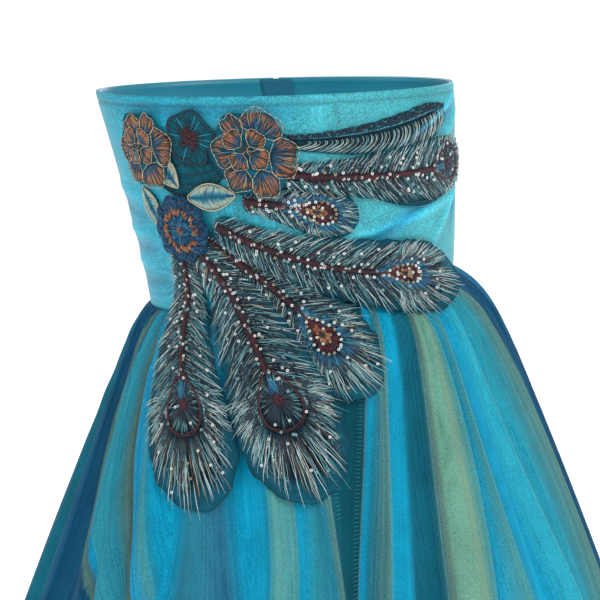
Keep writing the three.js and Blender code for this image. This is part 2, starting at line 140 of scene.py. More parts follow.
class Finish:
    # A material under way: constants go straight on its shader, and node() adds any other node.
    def __init__(self, name, **constants):
        self.material = bpy.data.materials.new(name)
        self.material.use_nodes = True
        self.tree = self.material.node_tree
        self.shader = self.tree.nodes["Principled BSDF"]
        for socket, value in constants.items():
            self.shader.inputs[socket.replace("_", " ")].default_value = value

    def put(self, socket, value):
        if isinstance(value, Signal):
            self.tree.links.new(value.socket, socket)
        else:
            socket.default_value = value

    def node(self, kind, settings=None, sockets=None, out=0):
        node = self.tree.nodes.new(kind)
        for key, value in (settings or {}).items():
            setattr(node, key, value)
        for key, value in (sockets or {}).items():
            self.put(node.inputs[key], value)
        return Signal(self, node.outputs[out])

    def math(self, operation, *values):
        return self.node("ShaderNodeMath", {"operation": operation}, dict(enumerate(values)))

    def mix(self, factor, first, second):
        first, second = ((*colour, 1) if isinstance(colour, tuple) else colour for colour in (first, second))
        return self.node("ShaderNodeMix", {"data_type": "RGBA"}, {0: factor, 6: first, 7: second}, 2)

    def tinted(self, colour, amount):
        # A colour made lighter or darker by a signal around 1.
        parts = self.node("ShaderNodeCombineXYZ", None, {0: amount, 1: amount, 2: amount})
        return self.node("ShaderNodeVectorMath", {"operation": "MULTIPLY"}, {0: colour, 1: parts})

    def noise(self, scale, detail=2.0, stretch=None):
        # In the object's metres, or drawn out over the cloth's own plan by the shares in stretch. The noise's
        # grid is turned, as it would show along a flat wall.
        if stretch:
            place = self.node("ShaderNodeUVMap", {"uv_map": "cloth"})
        else:
            place = self.node("ShaderNodeTexCoord", None, None, "Object")
        shares = (*(stretch or (1.0, 1.0)), 1.0)
        turned = {"Vector": place, "Scale": shares, "Rotation": (0.6, 0.9, 0.4)}
        place = self.node("ShaderNodeMapping", None, turned)
        return self.node("ShaderNodeTexNoise", None, {"Vector": place, "Scale": scale, "Detail": detail})

    def painted(self, name):
        return self.node("ShaderNodeAttribute", {"attribute_name": name}, None, "Color")

    def number(self, name):
        return self.node("ShaderNodeAttribute", {"attribute_name": name}, None, "Fac")

    def threads(self, pitch, turned=False):
        # 0 to 1 over the cloth's own plan in metres: high where a thread of the weave lies.
        plan = self.node("ShaderNodeUVMap", {"uv_map": "cloth"})
        split = self.node("ShaderNodeSeparateXYZ", None, {0: plan})
        across = Signal(self, split.socket.node.outputs[0])
        along = Signal(self, split.socket.node.outputs[1])
        wander = self.noise(22, 0.0) * 0.006  # so that the weave isn't quite regular
        across, along = across + wander, along + wander
        if turned:
            across, along = across + along, across - along
        rate = 2 * math.pi / pitch
        return self.math("SINE", across * rate) * self.math("SINE", along * rate) * 0.5 + 0.5

    def bump(self, height, strength, distance):
        sockets = {"Strength": strength, "Distance": distance, "Height": height}
        return self.node("ShaderNodeBump", None, sockets)

    def done(self, **links):
        for socket, value in links.items():
            self.put(self.shader.inputs[socket.replace("_", " ")], value)
        return self.material


# Meshes from arrays
def addObject(name, points, quads, material, colours=None, numbers=None, plan=None):
    mesh = bpy.data.meshes.new(name)
    mesh.from_pydata(points.reshape(-1, 3), [], quads, shade_flat=False)
    if colours is not None:
        rows = np.concatenate([colours.reshape(-1, 3), np.ones((colours.size // 3, 1))], 1)
        layer = mesh.attributes.new("cloth", "FLOAT_COLOR", "POINT")
        layer.data.foreach_set("color", rows.astype(np.float32).ravel())
    for key, values in (numbers or {}).items():
        layer = mesh.attributes.new(key, "FLOAT", "POINT")
        layer.data.foreach_set("value", values.astype(np.float32).ravel())
    if plan is not None:
        places = plan.reshape(-1, 2)[quads.ravel()].astype(np.float32)
        mesh.uv_layers.new(name="cloth").uv.foreach_set("vector", places.ravel())
    mesh.materials.append(material)
    made = bpy.data.objects.new(name, mesh)
    bpy.context.collection.objects.link(made)
    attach(made, "dress")
    return made


def wallQuads(rows, columns):
    # Both faces of a grid wall and the rim between them; the second face's points follow the first's.
    index = np.arange(rows * columns).reshape(rows, columns)
    corners = [index[:-1, :-1], index[:-1, 1:], index[1:, 1:], index[1:, :-1]]
    outer = np.stack(corners, -1).reshape(-1, 4)
    far = rows * columns
    border = np.concatenate([index[0, :-1], index[:-1, -1], index[-1, :0:-1], index[:0:-1, 0]])
    following = np.roll(border, -1)
    rim = np.stack([following, border, border + far, following + far], -1)
    return np.concatenate([outer, outer[:, ::-1] + far, rim])


def tubes(centre, first, second, radius, start):
    # Round threads along many paths of steps: a ring of four points goes round each step, from the first
    # direction towards the second, and the two end rings close with a face each.
    count, steps = centre.shape[:2]
    turn = np.arange(4) * math.pi / 2 + start
    ring = np.cos(turn)[:, None] * first[:, :, None] + np.sin(turn)[:, None] * second[:, :, None]
    index = np.arange(count * steps * 4).reshape(count, steps, 4)
    following = np.roll(index, -1, 2)
    walls = np.stack([index[:, :-1], index[:, 1:], following[:, 1:], following[:, :-1]], -1)
    quads = np.concatenate([walls.reshape(-1, 4), index[:, 0], index[:, -1, ::-1]])
    return centre[:, :, None] + ring * radius, quads


def gridNormals(grid):
    # The cross product of the steps along a grid's columns and rows, at unit length.
    normal = np.cross(np.gradient(grid, axis=1), np.gradient(grid, axis=0))
    return normal / np.linalg.norm(normal, axis=-1, keepdims=True)


def addWall(name, grid, inner, outer, material, colours=None, numbers=None, plan=None, normal=None):
    # A grid given a thickness along its normals: an outer and an inner face, which lie at two distances from
    # it, and the rim between them.
    normal = gridNormals(grid) if normal is None else normal
    points = np.stack([grid + normal * outer, grid + normal * inner])
    twice = {key: np.stack([values, values]) for key, values in (numbers or {}).items()}
    rows, columns = grid.shape[:2]
    return addObject(
        name, points, wallQuads(rows, columns), material,
        None if colours is None else np.stack([colours, colours]), twice,
        None if plan is None else np.stack([plan, plan]),
    )


# The garment's form, which the frame's own pieces have too
form = {
    "waistHalfWidth": 0.1275,
    "waistFront": 0.096,
    "waistBack": 0.084,
    "topRise": 0.166,
    "skirtLength": 0.450,
    "waistTilt": 0.015,
    "topTilt": 0.004,
    "topLean": -0.0225,
    "topExtraWidth": 0.020,
    "topExtraFront": 0.012,
    "topExtraBack": 0.006,
    "bustSwell": 0.012,
    "seamGap": 0.0003,
    "layerPitch": 0.0028,
    "flareSlope": 0.45,
    "flareEasing": 0.12,  # for each metre
    "widening": 0.4,
    "spring": 0.0145,
    "springLeft": 0.0095,
    "springLength": 0.012,
    "springLengthLeft": 0.005,
    "zipHalfWidth": 0.0022,
}


def smoothStep(share):
    # A cubic from 0 to 1 that starts and ends level.
    share = np.clip(share, 0, 1)
    return share * share * (3 - 2 * share)


def waistHeight(angle):
    # The waistline rises as a sine towards the wearer's left.
    return form["waistTilt"] * np.sin(angle)


def bodicePoint(angle, rise):
    # An ellipse round the body whose half width, front and back grow with the rise from waist to top. The
    # bust swells it in the middle of the front, it leans to the right, and its two edges tilt.
    share = np.clip(rise, 0, 1)
    facing = np.cos(angle)
    swell = form["bustSwell"] * np.sin(math.pi * share).clip(0) ** 1.5
    front = form["waistFront"] + form["topExtraFront"] * share + swell
    back = form["waistBack"] + form["topExtraBack"] * share
    halfWidth = form["waistHalfWidth"] + form["topExtraWidth"] * share ** 1.1
    top = form["topRise"] + form["topTilt"] * np.sin(angle)
    return np.stack([
        form["topLean"] * share ** 1.3 + halfWidth * np.sin(angle),
        -np.where(facing > 0, front, back) * facing,
        (1 - share) * waistHeight(angle) + share * top,
    ], -1)


def flare(drop, angle):
    # How far the skirt stands out: a slope that eases off, and the quick spring of the gathers.
    left = np.sin(angle)
    gathers = 1 - np.exp(-drop / (form["springLength"] + form["springLengthLeft"] * left))
    reach = form["spring"] + form["springLeft"] * left
    return form["flareSlope"] * drop - form["flareEasing"] * drop ** 2 + reach * gathers


def belowWaist(angle, drop, out):
    # The waistline moved out level by a distance and down by a drop.
    facing = np.cos(angle)
    depth = np.where(facing > 0, form["waistFront"], form["waistBack"]) + out
    across = (form["waistHalfWidth"] + out) * np.sin(angle)
    return np.stack([across, -depth * facing, waistHeight(angle) - drop], -1)


def skirtDrop(angle, fall):
    # How far below the waistline a share of the way down is; the hem is level.
    return form["seamGap"] + fall * (form["skirtLength"] + waistHeight(angle) - form["seamGap"])


def skirtSpan(drop):
    # The skirt's mean half width, which turns an angle into a distance along the cloth.
    return form["waistHalfWidth"] + form["widening"] * drop


def skirtPoint(angle, fall, inset):
    # The skirt's outline at a share of the way down, set in by a distance.
    drop = skirtDrop(angle, fall)
    return belowWaist(angle, drop, flare(drop, angle) - inset)


# The outer net's main folds: crest at the waist and at the hem in degrees, and the trough after it in metres.
outerFolds = [
    (-68, -48, 0.010), (-61, -42, 0.016), (-53, -31, 0.026), (-33, -19, 0.024), (-12, -4, 0.012),
    (3, 8, 0.036), (26, 16, 0.034), (36, 33, 0.010), (44, 48, 0.030), (58, 65, 0.016), (69, 78, 0.012),
    (78, 88, 0.022), (92, 98, 0.028), (105, 110, 0.018), (119, 122, 0.032), (133, 136, 0.020),
    (147, 149, 0.030), (163, 165, 0.020), (180, 180, 0.022), (195, 197, 0.030), (208, 212, 0.018),
    (221, 228, 0.034), (235, 244, 0.020), (249, 262, 0.030), (263, 279, 0.022), (278, 296, 0.018),
]
frontFoldCount = 11
backSeam = 18
innerFolds = []
for i in range(24):
    crest = -180 + 15 * i + 3 * math.sin(2.4 * i)
    innerFolds.append((crest, crest, 0.026 + 0.008 * math.sin(1.7 * i)))


def drift(fall):
    # How much of a fold's turn is done: most of it in the upper skirt.
    return (1 - np.exp(-3 * fall)) / (1 - math.exp(-3))


def crestAngle(fold, fall):
    # A crest turns from its angle at the waist to its angle at the hem.
    return fold[0] + (fold[1] - fold[0]) * drift(fall)


def foldDepth(folds, angle, fall):
    # Between two crests the depth is a squared sine of the share of the way, and it deepens towards the hem.
    depth = np.zeros_like(angle)
    degrees = np.degrees(angle)
    for fold, following in zip(folds, folds[1:] + folds[:1]):
        start = crestAngle(fold, fall)
        share = np.mod(degrees - start, 360) / np.mod(crestAngle(following, fall) - start, 360)
        depth = np.where(share < 1, fold[2] * np.sin(math.pi * share) ** 2, depth)
    return depth * fall ** 0.75


def softLargest(a, b, fall):
    # The larger of two depths, with the corner between them rounded off.
    softness = 0.00001 + 0.0025 * fall ** 0.75
    return softness * np.logaddexp(a / softness, b / softness)


def innerInset(angle, fall):
    # The inner net keeps behind the outer net's troughs and behind its own, and drops back down the skirt.
    ownDepth = 0.014 * fall + foldDepth(innerFolds, angle, fall)
    return form["layerPitch"] + 0.008 * fall + softLargest(foldDepth(outerFolds, angle, fall), ownDepth, fall)


def liningInset(angle, fall):
    # The lining hangs closer to the body than the nets, in nine soft waves.
    return 2 * form["layerPitch"] + 0.066 * fall ** 0.75 + 0.005 * (1 + np.sin(9 * angle + 2)) * fall


# Cloth colours: what the shot nets look like where they lie single, doubled or in shade
clothTones = {
    "cyan": linear(0, 170, 212),
    "blue": linear(0, 154, 204),
    "aqua": linear(46, 150, 168),
    "lagoon": linear(38, 166, 192),
    "mist": linear(74, 152, 156),
    "sage": linear(112, 164, 144),
    "paleSage": linear(138, 178, 150),
    "olive": linear(86, 134, 130),
    "bark": linear(80, 112, 108),
    "teal": linear(34, 132, 156),
    "steel": linear(40, 110, 140),
    "deepTeal": linear(8, 110, 132),
    "valley": linear(0, 96, 112),
    "peacock": linear(2, 82, 118),
    "peacockLight": linear(4, 106, 146),
    "azure": linear(0, 128, 176),
}
# How much of what lies behind each tone it covers, in one wall of the net.
clothCover = {"cyan": 0.90, "valley": 0.82}
plainCover = 0.94

# The lines where the outer net's tone changes: degrees from centre front at the waist and at two drops below
# it, the tones on the line's two sides, the height in metres of the ridge of doubled cloth along it, which
# stands on the side of larger angles if it is positive, and how far in metres the two tones blend.
toneDrops = (0.1, 0.2)
toneLines = [
    (-66, -66, -54, "peacock", "olive", 0.0018, 0.0020),
    (-62.5, -63.5, -51.5, "bark", "blue", 0.0, 0.0025),
    (-60.5, -61, -49.5, "cyan", "aqua", 0.0016, 0.0010),
    (-57, -51.5, -41, "teal", "olive", -0.0010, 0.0060),
    (-55.5, -48.5, -37.5, "bark", "blue", 0.0020, 0.0012),
    (-53, -43, -32.5, "mist", "cyan", -0.0016, 0.0045),
    (-46, -31.5, -28.5, "cyan", "teal", 0.0010, 0.0120),
    (-28, -20, -13.5, "steel", "cyan", -0.0012, 0.0090),
    (-20, -9.5, -6, "cyan", "mist", 0.0020, 0.0020),
    (-15, -4, -0.5, "mist", "cyan", -0.0016, 0.0010),
    (-10, -1, 1.5, "cyan", "aqua", 0.0006, 0.0080),
    (-5, 2, 6, "teal", "teal", 0.0008, 0.0040),
    (0, 4.8, 8, "olive", "deepTeal", -0.0024, 0.0016),
    (9, 9.2, 9.6, "valley", "valley", 0.0006, 0.0030),
    (20, 15.5, 11.8, "valley", "blue", 0.0024, 0.0016),
    (22.5, 17.0, 13.2, "cyan", "teal", 0.0, 0.0030),
    (25.0, 20.5, 17.2, "olive", "cyan", -0.0018, 0.0010),
    (30, 26.5, 23, "cyan", "deepTeal", -0.0006, 0.0060),
    (35, 31.5, 29.5, "deepTeal", "bark", 0.0026, 0.0010),
    (36.2, 32.6, 30.6, "bark", "sage", 0.0, 0.0025),
    (39.5, 37.5, 35.5, "sage", "paleSage", -0.0010, 0.0010),
    (41, 42, 40, "mist", "cyan", -0.0022, 0.0010),
    (44.5, 45, 46.5, "mist", "cyan", -0.0014, 0.0016),
    (50, 52, 56, "cyan", "lagoon", 0.0006, 0.0080),
    (53, 57, 61, "lagoon", "lagoon", -0.0012, 0.0012),
    (57, 64, 68, "aqua", "aqua", 0.0008, 0.0120),
    (66, 74, 77, "olive", "peacock", -0.0020, 0.0020),
]
# Round the back the deep net's folds each show a paler edge.
backTones = [
    ("peacock", "peacockLight"), ("peacockLight", "deepTeal"), ("peacock", "azure"), ("azure", "peacock"),
]


def allToneLines():
    # The front's lines, and one at each crest round the back.
    lines = list(toneLines)
    depths = [drop / form["skirtLength"] for drop in toneDrops]
    for i, fold in enumerate(outerFolds[frontFoldCount:]):
        middle, low = (float(crestAngle(fold, fall)) for fall in depths)
        left, right = backTones[i % len(backTones)]
        ridge, blend = (0.0020, 0.0012) if i % 2 else (-0.0018, 0.0070)
        if fold[0] < toneLines[0][0] + 352:
            lines.append((fold[0] + 2.5, middle + 2.5, low + 2.5, left, right, ridge, blend))
    lines[-1] = lines[-1][:4] + ("peacock",) + lines[-1][5:]  # the wearer's right edge is deep blue
    return lines


def lineAngle(line, drop):
    # A parabola through a tone line's three angles, which stops turning some way below the last.
    reach = drop / toneDrops[1]
    beyond = np.clip(reach - 1.1, 0, None)
    t = np.where(reach > 1.1, 1.1 + 0.25 * (1 - np.exp(-beyond / 0.25)), reach)
    return line[0] * (1 - t) * (1 - 2 * t) + 4 * line[1] * t * (1 - t) + line[2] * t * (2 * t - 1)


def lineAngles(fall):
    # The angle in degrees of every tone line at each fall, kept in order.
    angles = np.array([lineAngle(line, fall * form["skirtLength"]) for line in allToneLines()])
    gap = 0.7 * np.arange(len(angles))[:, None]
    return np.maximum.accumulate(angles - gap, axis=0) + gap


def outerNetLook(angle, fall):
    # The tone, cover and relief of the outer net, whose rows each have one fall. Between two lines the tones
    # blend along a smooth step, and close to a line they blend across it; a ridge falls away from its line.
    lines = allToneLines()
    places = lineAngles(fall[:, 0])[:, :, None]
    degrees = np.degrees(angle)
    drop = fall * form["skirtLength"]
    span = skirtSpan(drop)
    look = np.zeros(angle.shape + (4,))
    relief = np.zeros_like(angle)
    tones = {name: np.array([*tone, clothCover.get(name, plainCover)]) for name, tone in clothTones.items()}
    for i, line in enumerate(lines):
        following = (i + 1) % len(lines)
        share = np.mod(degrees - places[i], 360) / np.mod(places[following] - places[i], 360)
        first, last = tones[line[4]], tones[lines[following][3]]
        look = np.where((share < 1)[..., None], first + (last - first) * smoothStep(share)[..., None], look)
    for line, place in zip(lines, places):
        away = np.radians(np.mod(degrees - place + 180, 360) - 180) * span
        left, right = tones[line[3]], tones[line[4]]
        blend = line[6] * np.clip(drop / 0.05, 0.25, 1)
        across = left + (right - left) * smoothStep(away / blend * 0.5 + 0.5)[..., None]
        near = smoothStep(2 - 2 * np.abs(away) / blend)[..., None]
        look = look + (across - look) * near
        if line[6] < skirt["sharpBlend"]:  # a sharp fold has a paler edge, where the net is doubled
            edge = (np.clip(1.15 - 2 * np.abs(away) / blend, 0, 1) * np.clip(drop / 0.06, 0, 1))[..., None]
            look = look + (skirt["foldEdge"] - look) * edge * skirt["foldEdgeShare"]
        side = away * np.sign(line[5] or 1)
        rising = smoothStep(side / skirt["ridgeRise"] + 1)
        falling = np.exp(-np.clip(side, 0, None) / skirt["ridgeLength"])
        relief += abs(line[5]) * rising * falling * np.clip(drop / 0.03, 0, 1)
        if line[5]:  # the ridge shades the net that it hangs over
            shade = np.exp(np.clip(side, None, 0) / skirt["shadeReach"]) * (1 - rising)
            shade = shade * np.clip(drop / 0.05, 0, 1)
            share = skirt["shade"] * min(abs(line[5]) / skirt["highRidge"], 1)
            look[..., :3] *= 1 - (share * shade)[..., None]
    return look[..., :3], look[..., 3], relief


# The skirt
skirt = {
    "rows": 84,
    "rowCrowding": 1.35,  # rows lie closer together near the waist
    "columnsPerDegree": 1.7,
    "foldEdge": np.array([*linear(120, 190, 190), 0.95]),
    "foldEdgeShare": 0.45,
    "sharpBlend": 0.0018,
    "ridgeRise": 0.0012,
    "ridgeLength": 0.008,
    "shade": 0.34,  # beside the highest ridge
    "shadeReach": 0.007,
    "highRidge": 0.002,
    "innerColumnsPerDegree": 1.1,
    "innerRows": 60,
    "netThickness": 0.0007,
    "gathers": 84,
    "gatherDepth": 0.0011,
    "gatherReach": 0.055,
}


def netFinish(name):
    # Fine net: a diagonal mesh, flecks, soft clouds, and streaks drawn out along the fall of the cloth, which
    # also turn the shot colour warmer or cooler.
    net = Finish(name, Roughness=0.7, Sheen_Weight=0.03, Specular_IOR_Level=0.08)
    fine, broad = net.noise(380, 3.0, (1.0, 0.035)), net.noise(110, 3.0, (1.0, 0.035))
    grain = net.threads(0.0046, turned=True)
    fleck = net.noise(1000, 2.0)
    cloud = net.noise(30, 4.0)
    shot = net.painted("cloth")
    warmShares = {0: shot, 1: (1.20, 0.97, 0.93), 2: (0.005, 0.003, 0.0)}
    coolShares = {0: shot, 1: (0.72, 1.03, 1.09)}
    warmer = net.node("ShaderNodeVectorMath", {"operation": "MULTIPLY_ADD"}, warmShares)
    cooler = net.node("ShaderNodeVectorMath", {"operation": "MULTIPLY"}, coolShares)
    turned = net.mix((broad + fine) * 1.8 - 1.3, cooler, warmer)
    amount = grain * 0.22 + cloud * 0.35 + fleck * 1.30 + fine * 0.80 + broad * 0.60 - 0.64
    return net.done(
        Base_Color=net.tinted(turned, amount),
        Alpha=net.number("cover"),
        Normal=net.bump(grain * 0.1 + fleck + fine * 2.0 + broad * 3.0, 0.45, 0.0006),
    )


def gathers(angle, fall):
    # Small uneven pleats at the waist seam, which die out down the skirt.
    drop = skirtDrop(angle, fall)
    turn = skirt["gathers"] * (angle + 0.05 * np.sin(5 * angle) + 0.02 * np.sin(13 * angle))
    near = (1 - np.exp(-drop / 0.006)) * np.exp(-drop / skirt["gatherReach"])
    return skirt["gatherDepth"] * near * (np.sin(turn) + 0.6 * np.sin(1.7 * turn + 1))


def panelGrid(first, last, rows, columnsPerDegree, followLines=False):
    # Angles and falls of a net panel between two crests. The seams follow the crests, and the columns between
    # them run along the tone lines, so that an edge of a fold is clean.
    fall = (1 - np.linspace(0, 1, rows)) ** skirt["rowCrowding"]
    ends = [outerFolds[first], outerFolds[last % len(outerFolds)]]
    trim = math.degrees(form["seamGap"] / 2 / form["waistHalfWidth"])
    start = crestAngle(ends[0], fall) + trim
    width = crestAngle(ends[1], fall) + (360 if last == len(outerFolds) else 0) - trim - start
    span = skirtSpan(fall * form["skirtLength"])
    knots = []
    for line, place in zip(allToneLines(), lineAngles(fall)) if followLines else ():
        away = np.mod(place - start + 60, 360) - 60
        if -2 < away[rows // 2] < width[rows // 2] + 2:
            half = np.degrees(min(line[6], 0.0016) / 2 / span)
            knots += [away - half, away, away + half]
    knots = np.array(sorted(knots, key=lambda knot: knot[rows // 2])).reshape(-1, rows)
    gap = 0.09 * np.arange(1, len(knots) + 1)[:, None]
    knots = np.maximum.accumulate(knots - gap, axis=0) + gap
    knots = np.minimum(np.maximum(knots, gap), width - gap[::-1])
    knots = np.concatenate([np.zeros((1, rows)), knots, width[None]])
    parts = []
    for low, high in zip(knots, knots[1:]):
        count = max(int(np.mean(high - low) * columnsPerDegree + 0.5), 1)
        parts.append(low[:, None] + (high - low)[:, None] * np.arange(count) / count)
    parts.append(width[:, None])
    angle = start[:, None] + np.concatenate(parts, 1)
    return np.radians(angle), np.repeat(fall[:, None], angle.shape[1], 1)


def clothPlan(angle, fall):
    # The place on the cloth's own plan in metres.
    return np.stack([angle * 0.22, fall * form["skirtLength"]], -1)


def addNets():
    outerFinish = netFinish("outer net")
    innerFinish = netFinish("inner net")
    panels = [
        ("front", 0, frontFoldCount, "sage_net", (0.78, 0.46), (0.74, 0.46)),
        ("back_left", frontFoldCount, backSeam, "blue_net", (0.55, 0.46), (0.50, 0.46)),
        ("back_right", backSeam, len(outerFolds), "blue_net", (0.63, 0.46), (0.59, 0.46)),
    ]
    for name, first, last, slotName, outerFlat, innerFlat in panels:
        angle, fall = panelGrid(first, last, skirt["rows"], skirt["columnsPerDegree"], True)
        colour, cover, relief = outerNetLook(angle, fall)
        inset = foldDepth(outerFolds, angle, fall) - relief + gathers(angle, fall)
        grid = skirtPoint(angle, fall, inset)
        piece = addWall(
            f"skirtNet_{name}", grid, -skirt["netThickness"], 0.0, outerFinish,
            colour, {"cover": cover}, clothPlan(angle, fall),
        )
        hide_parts(f"skirt_net_{name}")

        angle, fall = panelGrid(first, last, skirt["innerRows"], skirt["innerColumnsPerDegree"])
        inset = innerInset(angle, fall)
        # Painted shade: the inner net turns from cyan towards deep teal where it lies deeper inside the
        # folds.
        depth = np.clip((inset - form["layerPitch"]) / 0.045, 0, 1)[..., None]
        shallow, deep = np.array(clothTones["cyan"]), np.array(clothTones["deepTeal"])
        colour = shallow + (deep - shallow) * depth
        opening = np.exp(-((np.degrees(angle) - 12) / 5) ** 2)  # thin where the lining's seam shows through
        piece = addWall(
            f"skirtInnerNet_{name}", skirtPoint(angle, fall, inset), -skirt["netThickness"], 0.0, innerFinish,
            colour, {"cover": 0.90 - 0.45 * opening}, clothPlan(angle, fall),
        )
        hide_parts(f"skirt_inner_net_{name}")
    print("nets made")


# The overlocked edges of two inner seams, which show in the deepest fold: angles as for a tone line, and the
# drops between which a row shows.
seamTicks = {
    "rows": [((18.6, 14.3, 11.1), 0.035, 0.300), ((2.5, 6.6, 9.0), 0.085, 0.150)],
    "pitch": 0.0029,
    "length": 0.0040,
    "width": 0.0008,
    "tint": linear(34, 132, 152),
}


def addSeamTicks():
    finish = Finish("seam thread", Roughness=0.6)
    fleck = finish.noise(900)
    material = finish.done(Base_Color=finish.tinted(finish.painted("cloth"), 0.7 + fleck * 0.6))
    paths = []
    for line, first, last in seamTicks["rows"]:
        drops = np.arange(first, last, seamTicks["pitch"])
        angle = np.radians(lineAngle(line, drops))[:, None]
        half = seamTicks["length"] / 2 / skirtSpan(drops[:, None])
        angle = angle + half * np.array([-1.0, 0.0, 1.0])
        fall = np.repeat(drops[:, None] / form["skirtLength"], 3, 1)
        relief = outerNetLook(angle, fall)[2]
        paths.append(skirtPoint(angle, fall, foldDepth(outerFolds, angle, fall) - relief - 0.0002))
    centre = np.concatenate(paths)
    along = centre[:, 2:] - centre[:, :1]
    along = along / np.linalg.norm(along, axis=-1, keepdims=True)
    up = np.array([0.0, 0.0, 1.0]) - along * along[..., 2:]
    points, quads = tubes(centre, up, np.cross(along, up), seamTicks["width"] / 2, 0.0)
    tints = np.broadcast_to(np.array(seamTicks["tint"]), (points.size // 3, 3))
    addObject("seamThreads", points, quads, material, tints)


lining = {
    "rows": 50,
    "columns": 70,
    "thickness": 0.0008,
    "seamTrim": 0.07,  # degrees
    "zipTrim": 1.0,
    "zipFall": 0.17,  # how far down the skirt the zip keeps the back seam open
    # name, first and last angle, flat size and area
    "panels": [
        ("front_right", -90, 0, (0.33, 0.46), 0.119),
        ("front_left", 0, 90, (0.38, 0.47), 0.137),
        ("back_left", 90, 180, (0.37, 0.46), 0.133),
        ("back_right", 180, 270, (0.32, 0.46), 0.115),
    ],
}


def addLining():
    finish = Finish("lining satin", Roughness=0.4, Sheen_Weight=0.2, Specular_IOR_Level=0.45)
    weave = finish.threads(0.0009)
    cloud = finish.noise(30)
    colour = finish.mix(cloud, linear(6, 112, 150), linear(8, 134, 176))
    colour = finish.tinted(colour, 0.92 + weave * 0.12)
    material = finish.done(Base_Color=colour, Normal=finish.bump(weave, 0.15, 0.0003))
    fall = (1 - np.linspace(0, 1, lining["rows"])) ** skirt["rowCrowding"]
    seam = np.full_like(fall, lining["seamTrim"])
    zipSeam = np.where(fall < lining["zipFall"], lining["zipTrim"], lining["seamTrim"])
    fall = np.repeat(fall[:, None], lining["columns"], 1)
    across = np.linspace(0, 1, lining["columns"])
    for name, low, high, flat, area in lining["panels"]:
        start = low + (zipSeam if low == 180 else seam)
        end = high - (zipSeam if high == 180 else seam)
        angle = np.radians(start[:, None] + (end - start)[:, None] * across)
        piece = addWall(
            f"skirtLining_{name}", skirtPoint(angle, fall, liningInset(angle, fall)), -lining["thickness"],
            0.0, material, plan=clothPlan(angle, fall),
        )
        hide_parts(f"skirt_lining_{name}")
    print("lining made")


# The bodice
bodice = {
    "rows": 72,
    "columnsPerDegree": 1.1,
    "satinThickness": 0.0011,
    "netThickness": 0.0008,
    "satinInset": 0.0013,
    "tones": [linear(20, 154, 178), linear(60, 168, 180), linear(0, 158, 202)],  # right, left, single cloth
    "creaseWidth": 0.0040,
    "blueWidth": 0.0075,
    "rollShare": 0.035,  # the top edge turns in over this share of the height
    "rollDepth": 0.0012,
    "stitchLine": 0.0065,  # below the top edge
    "stitchWidth": 0.0012,
    "stitchDepth": 0.0007,
    # start and end of a crease as degrees from centre front and metres above the waist, its height in metres,
    # and how much bluer the single cloth beside it looks
    "creases": [
        ((84, 0.164), (22, 0.104), 0.0030, 0.0),
        ((78, 0.150), (26, 0.108), -0.0020, 0.9),
        ((88, 0.150), (58, 0.112), 0.0018, 0.0),
        ((84, 0.074), (10, 0.050), 0.0022, 0.0),
        ((56, 0.078), (20, 0.040), -0.0018, 0.8),
        ((82, 0.092), (50, 0.024), 0.0022, 0.0),
        ((86, 0.128), (70, 0.034), -0.0018, 0.5),
        ((-89, 0.096), (-50, 0.088), 0.0016, 0.0),
        ((-89, 0.082), (-54, 0.074), -0.0014, 0.5),
        ((-88, 0.062), (-56, 0.060), 0.0018, 0.0),
        ((-89, 0.048), (-52, 0.050), -0.0014, 0.5),
        ((-88, 0.036), (-58, 0.036), 0.0016, 0.0),
        ((-88, 0.020), (-50, 0.024), -0.0012, 0.4),
        ((-60, 0.156), (10, 0.153), -0.0012, 0.6),
        ((-50, 0.146), (-20, 0.142), 0.0010, 0.0),
        ((96, 0.124), (158, 0.066), 0.0009, 0.1),
        ((-100, 0.132), (-168, 0.074), 0.0009, 0.1),
        ((94, 0.046), (170, 0.028), -0.0008, 0.1),
        ((-94, 0.054), (-160, 0.022), -0.0008, 0.1),
    ],
}


def bodiceCreases(angle, rise):
    # Each crease is a bell-shaped ridge or trough along a straight line on the cloth's plan, and fades at its
    # ends.
    across = angle * (form["waistHalfWidth"] + form["topExtraWidth"] * rise)
    height = rise * form["topRise"]
    relief = np.zeros_like(angle)
    blue = np.zeros_like(angle)
    for *ends, tall, bluer in bodice["creases"]:
        first, last = (
            np.array([math.radians(turn) * (form["waistHalfWidth"] + 0.12 * above), above])
            for turn, above in ends
        )
        along = last - first
        length = np.linalg.norm(along)
        along = along / length
        done = ((across - first[0]) * along[0] + (height - first[1]) * along[1]) / length
        off = (across - first[0]) * along[1] - (height - first[1]) * along[0]
        fade = np.clip(done, 0, 1) * np.clip(1 - done, 0, 1) * 4
        relief += tall * np.exp(-(off / bodice["creaseWidth"]) ** 2) * fade
        blue += bluer * np.exp(-(off / bodice["blueWidth"]) ** 2) * np.sqrt(fade)
    stitched = np.exp(-((height - form["topRise"] + bodice["stitchLine"]) / bodice["stitchWidth"]) ** 2)
    return relief - bodice["stitchDepth"] * stitched, np.clip(blue, 0, 1), stitched


